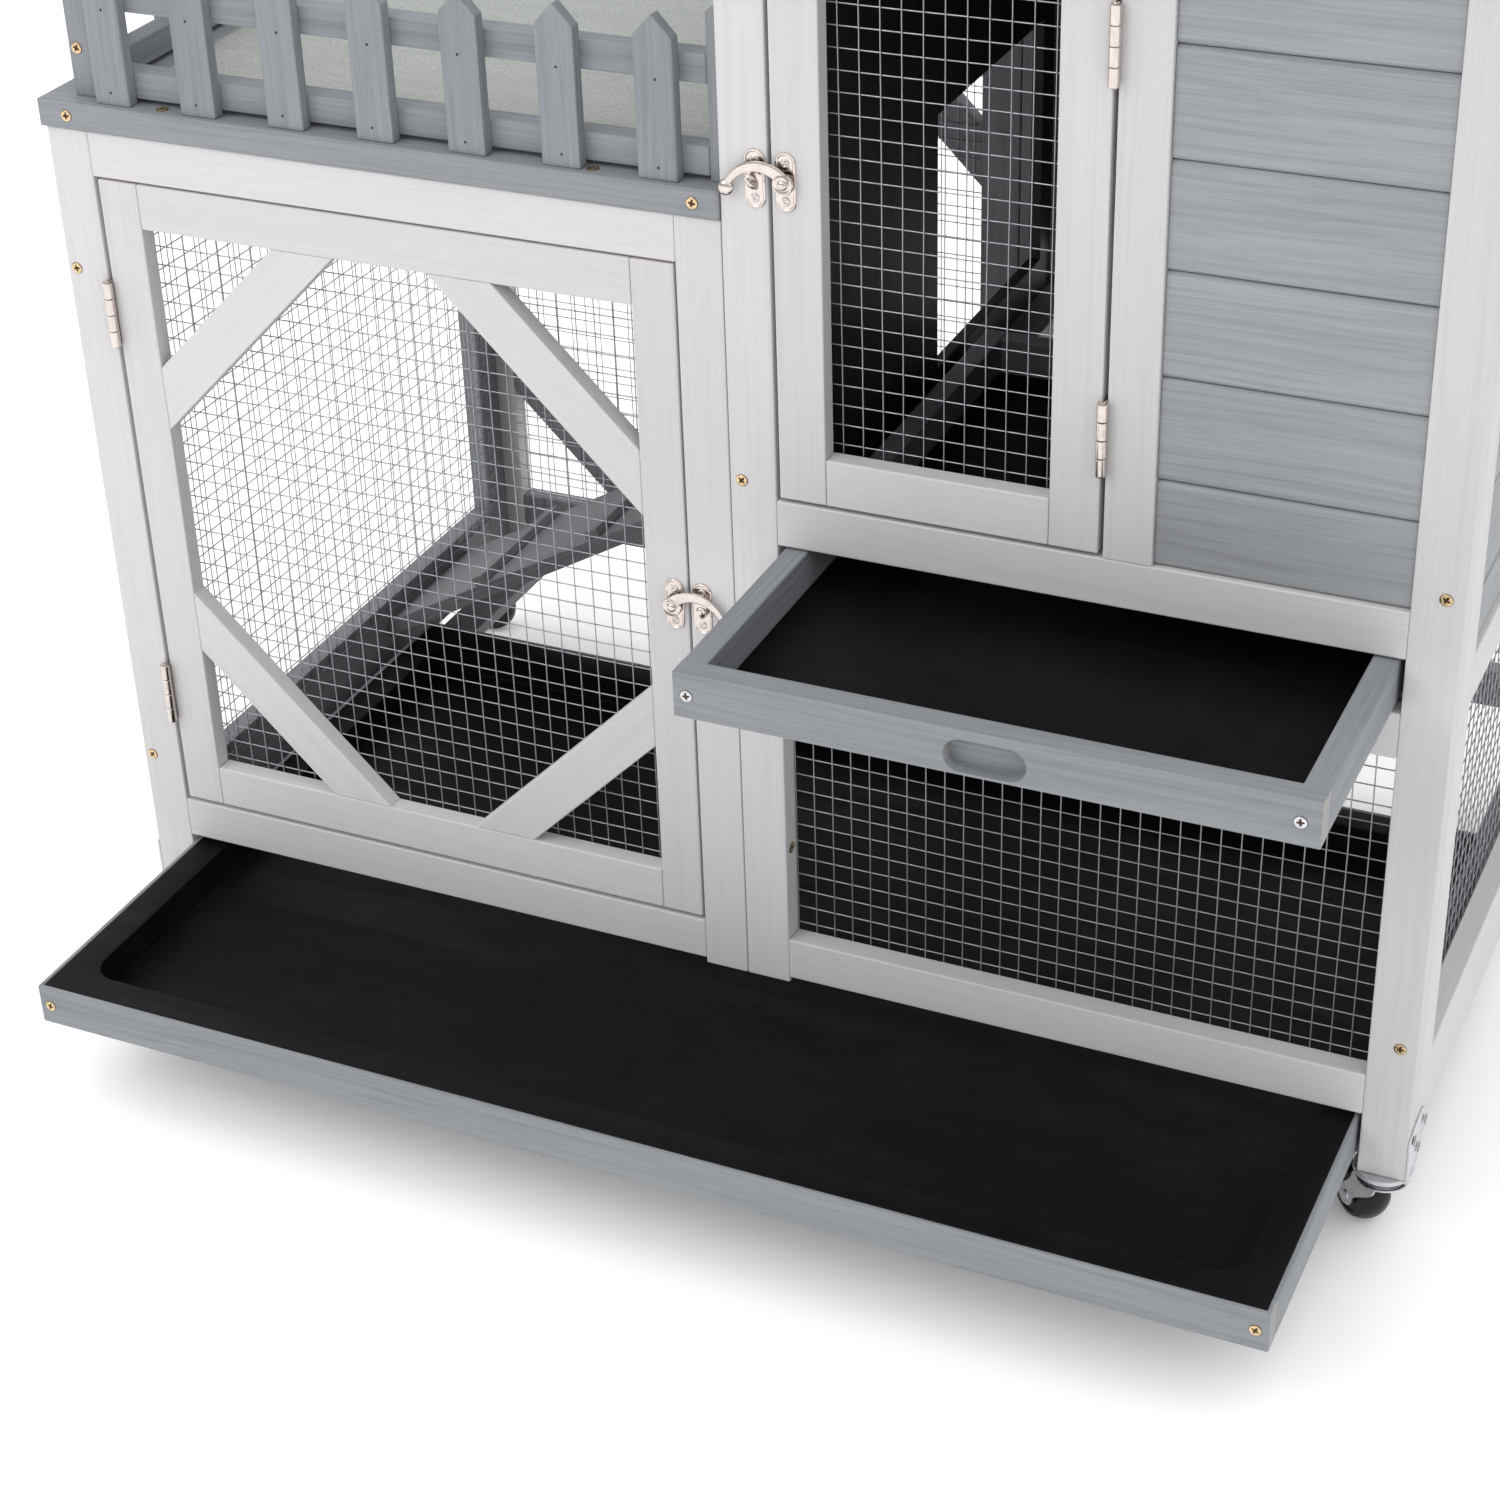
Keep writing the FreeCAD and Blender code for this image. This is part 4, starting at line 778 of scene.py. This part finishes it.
def add_sheet(bm, rows, thick):
    """Sheet metal of one thickness through a grid of points."""
    down, wide = len(rows), len(rows[0])
    sides = ([], [])
    for i in range(down):
        for k in range(wide):
            ahead = rows[min(i + 1, down - 1)][k] - rows[max(i - 1, 0)][k]
            right = rows[i][min(k + 1, wide - 1)] - rows[i][max(k - 1, 0)]
            normal = ahead.cross(right).normalized()
            for verts, way in zip(sides, (0.5, -0.5)):
                verts.append(bm.verts.new(rows[i][k] + normal * (thick * way)))
    for i in range(down - 1):
        for k in range(wide - 1):
            a, b, c, d = i * wide + k, i * wide + k + 1, (i + 1) * wide + k + 1, (i + 1) * wide + k
            bm.faces.new([sides[0][n] for n in (a, b, c, d)])
            bm.faces.new([sides[1][n] for n in (d, c, b, a)])
    rim = list(range(wide))
    rim += [i * wide + wide - 1 for i in range(1, down)]
    rim += [(down - 1) * wide + k for k in range(wide - 2, -1, -1)]
    rim += [i * wide for i in range(down - 2, 0, -1)]
    for a, b in zip(rim, rim[1:] + rim[:1]):
        bm.faces.new((sides[0][b], sides[0][a], sides[1][a], sides[1][b]))


BRACKET_SCREWS = ((7.0, 28.0), (36.0, 24.0), (22.0, 12.0))  # mm along the post and above its foot
BRACKET_SCREW_R = 3.4 * MM
BRACKET_LEAF = 1.6 * MM
LIP_PROFILE = (
    (17.3, -2.0), (17.6, -3.0), (18.3, -3.3), (18.75, -2.9),
    (18.8, -1.9), (18.75, -0.4), (18.0, -0.05),
)


def bracket_details():
    """A turned lip round each flange and three screws in each leaf."""
    lips, heads = bmesh.new(), bmesh.new()
    dice = random.Random("brackets")
    for corner in CORNERS:
        pivot = yaw_of(corner)[0]
        post_low, post_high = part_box("post_" + corner)
        foot = post_low.z
        lathe(lips, in_metres(LIP_PROFILE), Vector((pivot.x, pivot.y, foot)), Vector((0, 0, 1)), 72)
        outward = Vector((1 if "right" in corner else -1, 0, 0))
        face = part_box("caster_brackets")[1].x if outward.x > 0 else post_low.x - BRACKET_LEAF
        end, inward = (post_low.y, 1) if "front" in corner else (post_high.y, -1)
        for along, up in BRACKET_SCREWS:
            place = Vector((face, end + inward * along * MM, foot + up * MM))
            add_screw(heads, place, outward, BRACKET_SCREW_R, dice.uniform(0, math.pi / 2))
    piece("caster_lips", lips, MATERIALS["zinc"], "frame")
    piece("caster_screws", heads, [MATERIALS["zinc"], GRIME_AND_SHADE], "frame")


# ---- fence nails and felt -------------------------------------------------------------------

NAIL_HEIGHTS = (8.5 * MM, 60.0 * MM)
NAIL_STRAY, NAIL_RISE = 1.2, 1.0
NAIL_PROFILE = ((0.9, 0.0), (0.9, 0.08), (0.6, 0.12), (0.1, 0.05))
FRONT_ROW = 0.05  # a picket this far in front of the middle is in the front row


def picket_nails():
    """Two brads through each picket into the rails."""
    bm = bmesh.new()
    dice = random.Random("nails")
    middle = (CAD_BOX[0] + CAD_BOX[1]) / 2
    for low, high in solids_of("fence_pickets"):
        size = high - low
        thin = 0 if size.x < size.y else 1
        outward = Vector((0, 0, 0))
        outward[thin] = -1.0 if thin == 0 or low.y < middle.y - FRONT_ROW else 1.0
        for height in NAIL_HEIGHTS:
            spot = (low + high) / 2
            spot[thin] = low[thin] if outward[thin] < 0 else high[thin]
            spot[1 - thin] += dice.uniform(-NAIL_STRAY, NAIL_STRAY) * MM
            spot.z = low.z + height + dice.uniform(-NAIL_RISE, NAIL_RISE) * MM
            lathe(bm, in_metres(NAIL_PROFILE), spot, outward, 12)
    piece("picket_nails", bm, NAIL, "frame")


FELT_CUTS, FELT_RIPPLE, FELT_HEM = 90, 0.9 * MM, 2 * MM


def felt_sheet(node, material):
    """Mineral felt that lies in shallow ripples."""
    bm = solid(node)
    top = [f for f in bm.faces if f.normal.z > 0.9]
    edges = sorted({e for f in top for e in f.edges}, key=lambda e: e.index)
    bmesh.ops.subdivide_edges(bm, edges=edges, cuts=FELT_CUTS, use_grid_fill=True)
    low, high = extent(list(bm.verts))
    for vert in bm.verts:
        inner = min(vert.co.x - low.x, high.x - vert.co.x, vert.co.y - low.y, high.y - vert.co.y)
        ripple = noise.noise(vert.co * 16.0) + 0.5 * noise.noise(vert.co * 45.0)
        if vert.normal.z > 0.5 and inner > FELT_HEM:
            vert.co.z -= (0.5 + 0.5 * ripple) * FELT_RIPPLE
    piece(node + ".laid", bm, material, BODY_OF[node], node)


# ---- hinges ---------------------------------------------------------------------------------

BARRELS = 4
BARREL_GAP = 0.25 * MM
PIN_HEAD_PROFILE = ((1.9, -0.2), (2.1, 0.3), (1.9, 0.8), (1.2, 1.15), (0.4, 1.25))


def hinge_barrels(joint_name, body):
    """Rolled knuckles with a pin head at each end, over the plain ones; every second one moves."""
    joint = next(j for j in frame["joints"] if j["name"] == joint_name)
    axis = Vector(joint["pos_m"])
    node = body + "_hinge_leaves"
    turned = {"frame": bmesh.new(), body: bmesh.new()}
    for low, high in solids_of(node):
        radius = axis.y - low.y + 0.03 * MM
        long = (high.z - low.z) / BARRELS
        for i in range(BARRELS):
            start, end = low.z + i * long + BARREL_GAP, low.z + (i + 1) * long - BARREL_GAP
            profile = [(radius - 0.9 * MM, 0.0), (radius - 0.25 * MM, 0.05 * MM), (radius, 0.35 * MM)]
            far = [(r, end - start - z) for r, z in reversed(profile)]
            owner = "frame" if i % 2 == 0 else body
            lathe(turned[owner], profile + far, Vector((axis.x, axis.y, start)), Vector((0, 0, 1)), 40)
        for place, way in ((high.z, 1), (low.z, -1)):
            pin_end = Vector((axis.x, axis.y, place))
            lathe(turned["frame"], in_metres(PIN_HEAD_PROFILE), pin_end, Vector((0, 0, way)), 24)
    for owner, bm in turned.items():
        piece(body + "_barrels." + owner, bm, MATERIALS["nickel"], owner)


# ---- the hutch ------------------------------------------------------------------------------

def faces_house(face):
    """True for the faces of the cladding that look into the house."""
    centre = face.calc_center_median()
    low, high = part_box("upper_door_frame")[0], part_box("post_back_right")[1]
    middle = Vector(((low.x + high.x) / 2, (low.y + high.y) / 2, centre.z))
    return face.normal.dot(middle - centre) > 0 and abs(face.normal.z) < 0.3


SIDED = ("front_siding", "side_siding", "back_tower_siding")
WOODS = ("white_wood", "grey_wood", "dark_wall")

for node_name in frame["nodes"]:
    slot_name = SLOT_OF[node_name]
    if node_name in SIDED:
        # Cladding faces that look into the house take the near-black dark_wall.
        boards(node_name, faces_house)
    elif node_name == "left_side_frame":
        # All but the outward (-X) faces take shaded_inner_wood: painted shade of the run's interior on the white
        # frame.
        boards(node_name, lambda face: face.normal.x > -0.7, "shaded_inner_wood")
    elif slot_name in WOODS:
        boards(node_name)
    elif slot_name == "galvanised_wire":
        wire_mesh(node_name)
    elif node_name.endswith("_screws"):
        screws(node_name)
    elif node_name == "deck_felt":
        felt_sheet(node_name, DECK_FELT)
    elif node_name == "roof_felt":
        felt_sheet(node_name, MATERIALS["felt"])
    elif slot_name == "black_plastic":
        hardware(node_name, PLASTIC_BEVEL, 3)
    elif node_name.endswith("hinge_leaves") or node_name == "hinge_fixed_leaves":
        hardware(node_name)
    elif node_name == "caster_brackets":
        hardware(node_name, METAL_BEVEL * 2)

for latch_name, way in (("run", 1), ("upper", -1)):
    latch(latch_name, way)
catches()
for corner_name in CORNERS:
    wheel(corner_name)
    fork(corner_name)
bracket_details()
hinge_barrels("run_door_hinge", "run_door")
hinge_barrels("upper_door_hinge", "upper_door")
picket_nails()


# ---- stage ----------------------------------------------------------------------------------

ROOM_HORIZON, ROOM_OVERHEAD = 0.50, 1.55
KEY_POWER, FILL_POWER = 26.0, 3.0
FLOOR_SIZE = 14.0
FLOOR_GLOW = 0.16  # keeps the shadow under the hutch pale


def floor():
    """A plain white floor under the wheels."""
    mesh = bpy.data.meshes.new("floor")
    half = FLOOR_SIZE / 2
    corners = [(-half, -half, 0), (half, -half, 0), (half, half, 0), (-half, half, 0)]
    mesh.from_pydata(corners, [], [(0, 1, 2, 3)])
    s = Shader("floor")
    speckle = s.noise(s.place(), 3.0, 2.0)
    s.surface(Base_Color=s.mix(speckle, (0.95, 0.95, 0.95, 1.0), (0.97, 0.97, 0.97, 1.0)))
    s.principled.inputs["Roughness"].default_value = 0.9
    s.principled.inputs["Specular IOR Level"].default_value = 0.1
    s.principled.inputs["Emission Color"].default_value = (1.0, 1.0, 1.0, 1.0)
    s.principled.inputs["Emission Strength"].default_value = FLOOR_GLOW
    mesh.materials.append(s.material)
    made = bpy.data.objects.new("floor", mesh)
    bpy.context.scene.collection.objects.link(made)


def area_light(name, place, target, size, power):
    lamp = bpy.data.lights.new(name, "AREA")
    lamp.shape = "RECTANGLE"
    lamp.size, lamp.size_y = size
    lamp.energy = power
    made = bpy.data.objects.new(name, lamp)
    made.location = place
    made.rotation_mode = "QUATERNION"
    made.rotation_quaternion = (Vector(target) - Vector(place)).to_track_quat("-Z", "Y")
    bpy.context.scene.collection.objects.link(made)


def studio():
    """A white room, brightest overhead, with a soft key light at the left."""
    world = bpy.data.worlds.new("studio")
    world.use_nodes = True
    tree = world.node_tree
    direction = tree.nodes.new("ShaderNodeTexCoord")
    height = tree.nodes.new("ShaderNodeSeparateXYZ")
    strength = tree.nodes.new("ShaderNodeMapRange")
    tree.links.new(direction.outputs["Generated"], height.inputs[0])
    tree.links.new(height.outputs["Z"], strength.inputs["Value"])
    strength.inputs["To Min"].default_value = ROOM_HORIZON
    strength.inputs["To Max"].default_value = ROOM_OVERHEAD
    background = tree.nodes["Background"]
    background.inputs["Color"].default_value = (1.0, 1.0, 1.0, 1.0)
    tree.links.new(strength.outputs["Result"], background.inputs["Strength"])
    bpy.context.scene.world = world
    bpy.context.scene.view_settings.view_transform = "Standard"
    area_light("key", (-1.6, -2.6, 2.6), (0, 0, 0.4), (1.8, 1.8), KEY_POWER)
    area_light("fill", (2.6, -2.2, 1.6), (0, 0, 0.4), (1.6, 1.6), FILL_POWER)


CAMERA_PLACE = (0.7130, -1.6597, 1.2706)
CAMERA_AZIMUTH = math.radians(-25.32)
CAMERA_DOWN = math.radians(31.54)
CAMERA_ROLL = math.radians(-2.00)
CAMERA_LENS = 72.8


def camera():
    lens = bpy.data.cameras.new("camera")
    lens.lens = CAMERA_LENS
    lens.sensor_width = 36.0
    made = bpy.data.objects.new("camera", lens)
    level = math.cos(CAMERA_DOWN)
    ahead = Vector((
        math.sin(CAMERA_AZIMUTH) * level,
        math.cos(CAMERA_AZIMUTH) * level,
        -math.sin(CAMERA_DOWN),
    ))
    made.location = CAMERA_PLACE
    made.rotation_mode = "QUATERNION"
    made.rotation_quaternion = ahead.to_track_quat("-Z", "Y") @ Quaternion((0, 0, 1), CAMERA_ROLL)
    bpy.context.scene.collection.objects.link(made)
    bpy.context.scene.camera = made


floor()
studio()
camera()
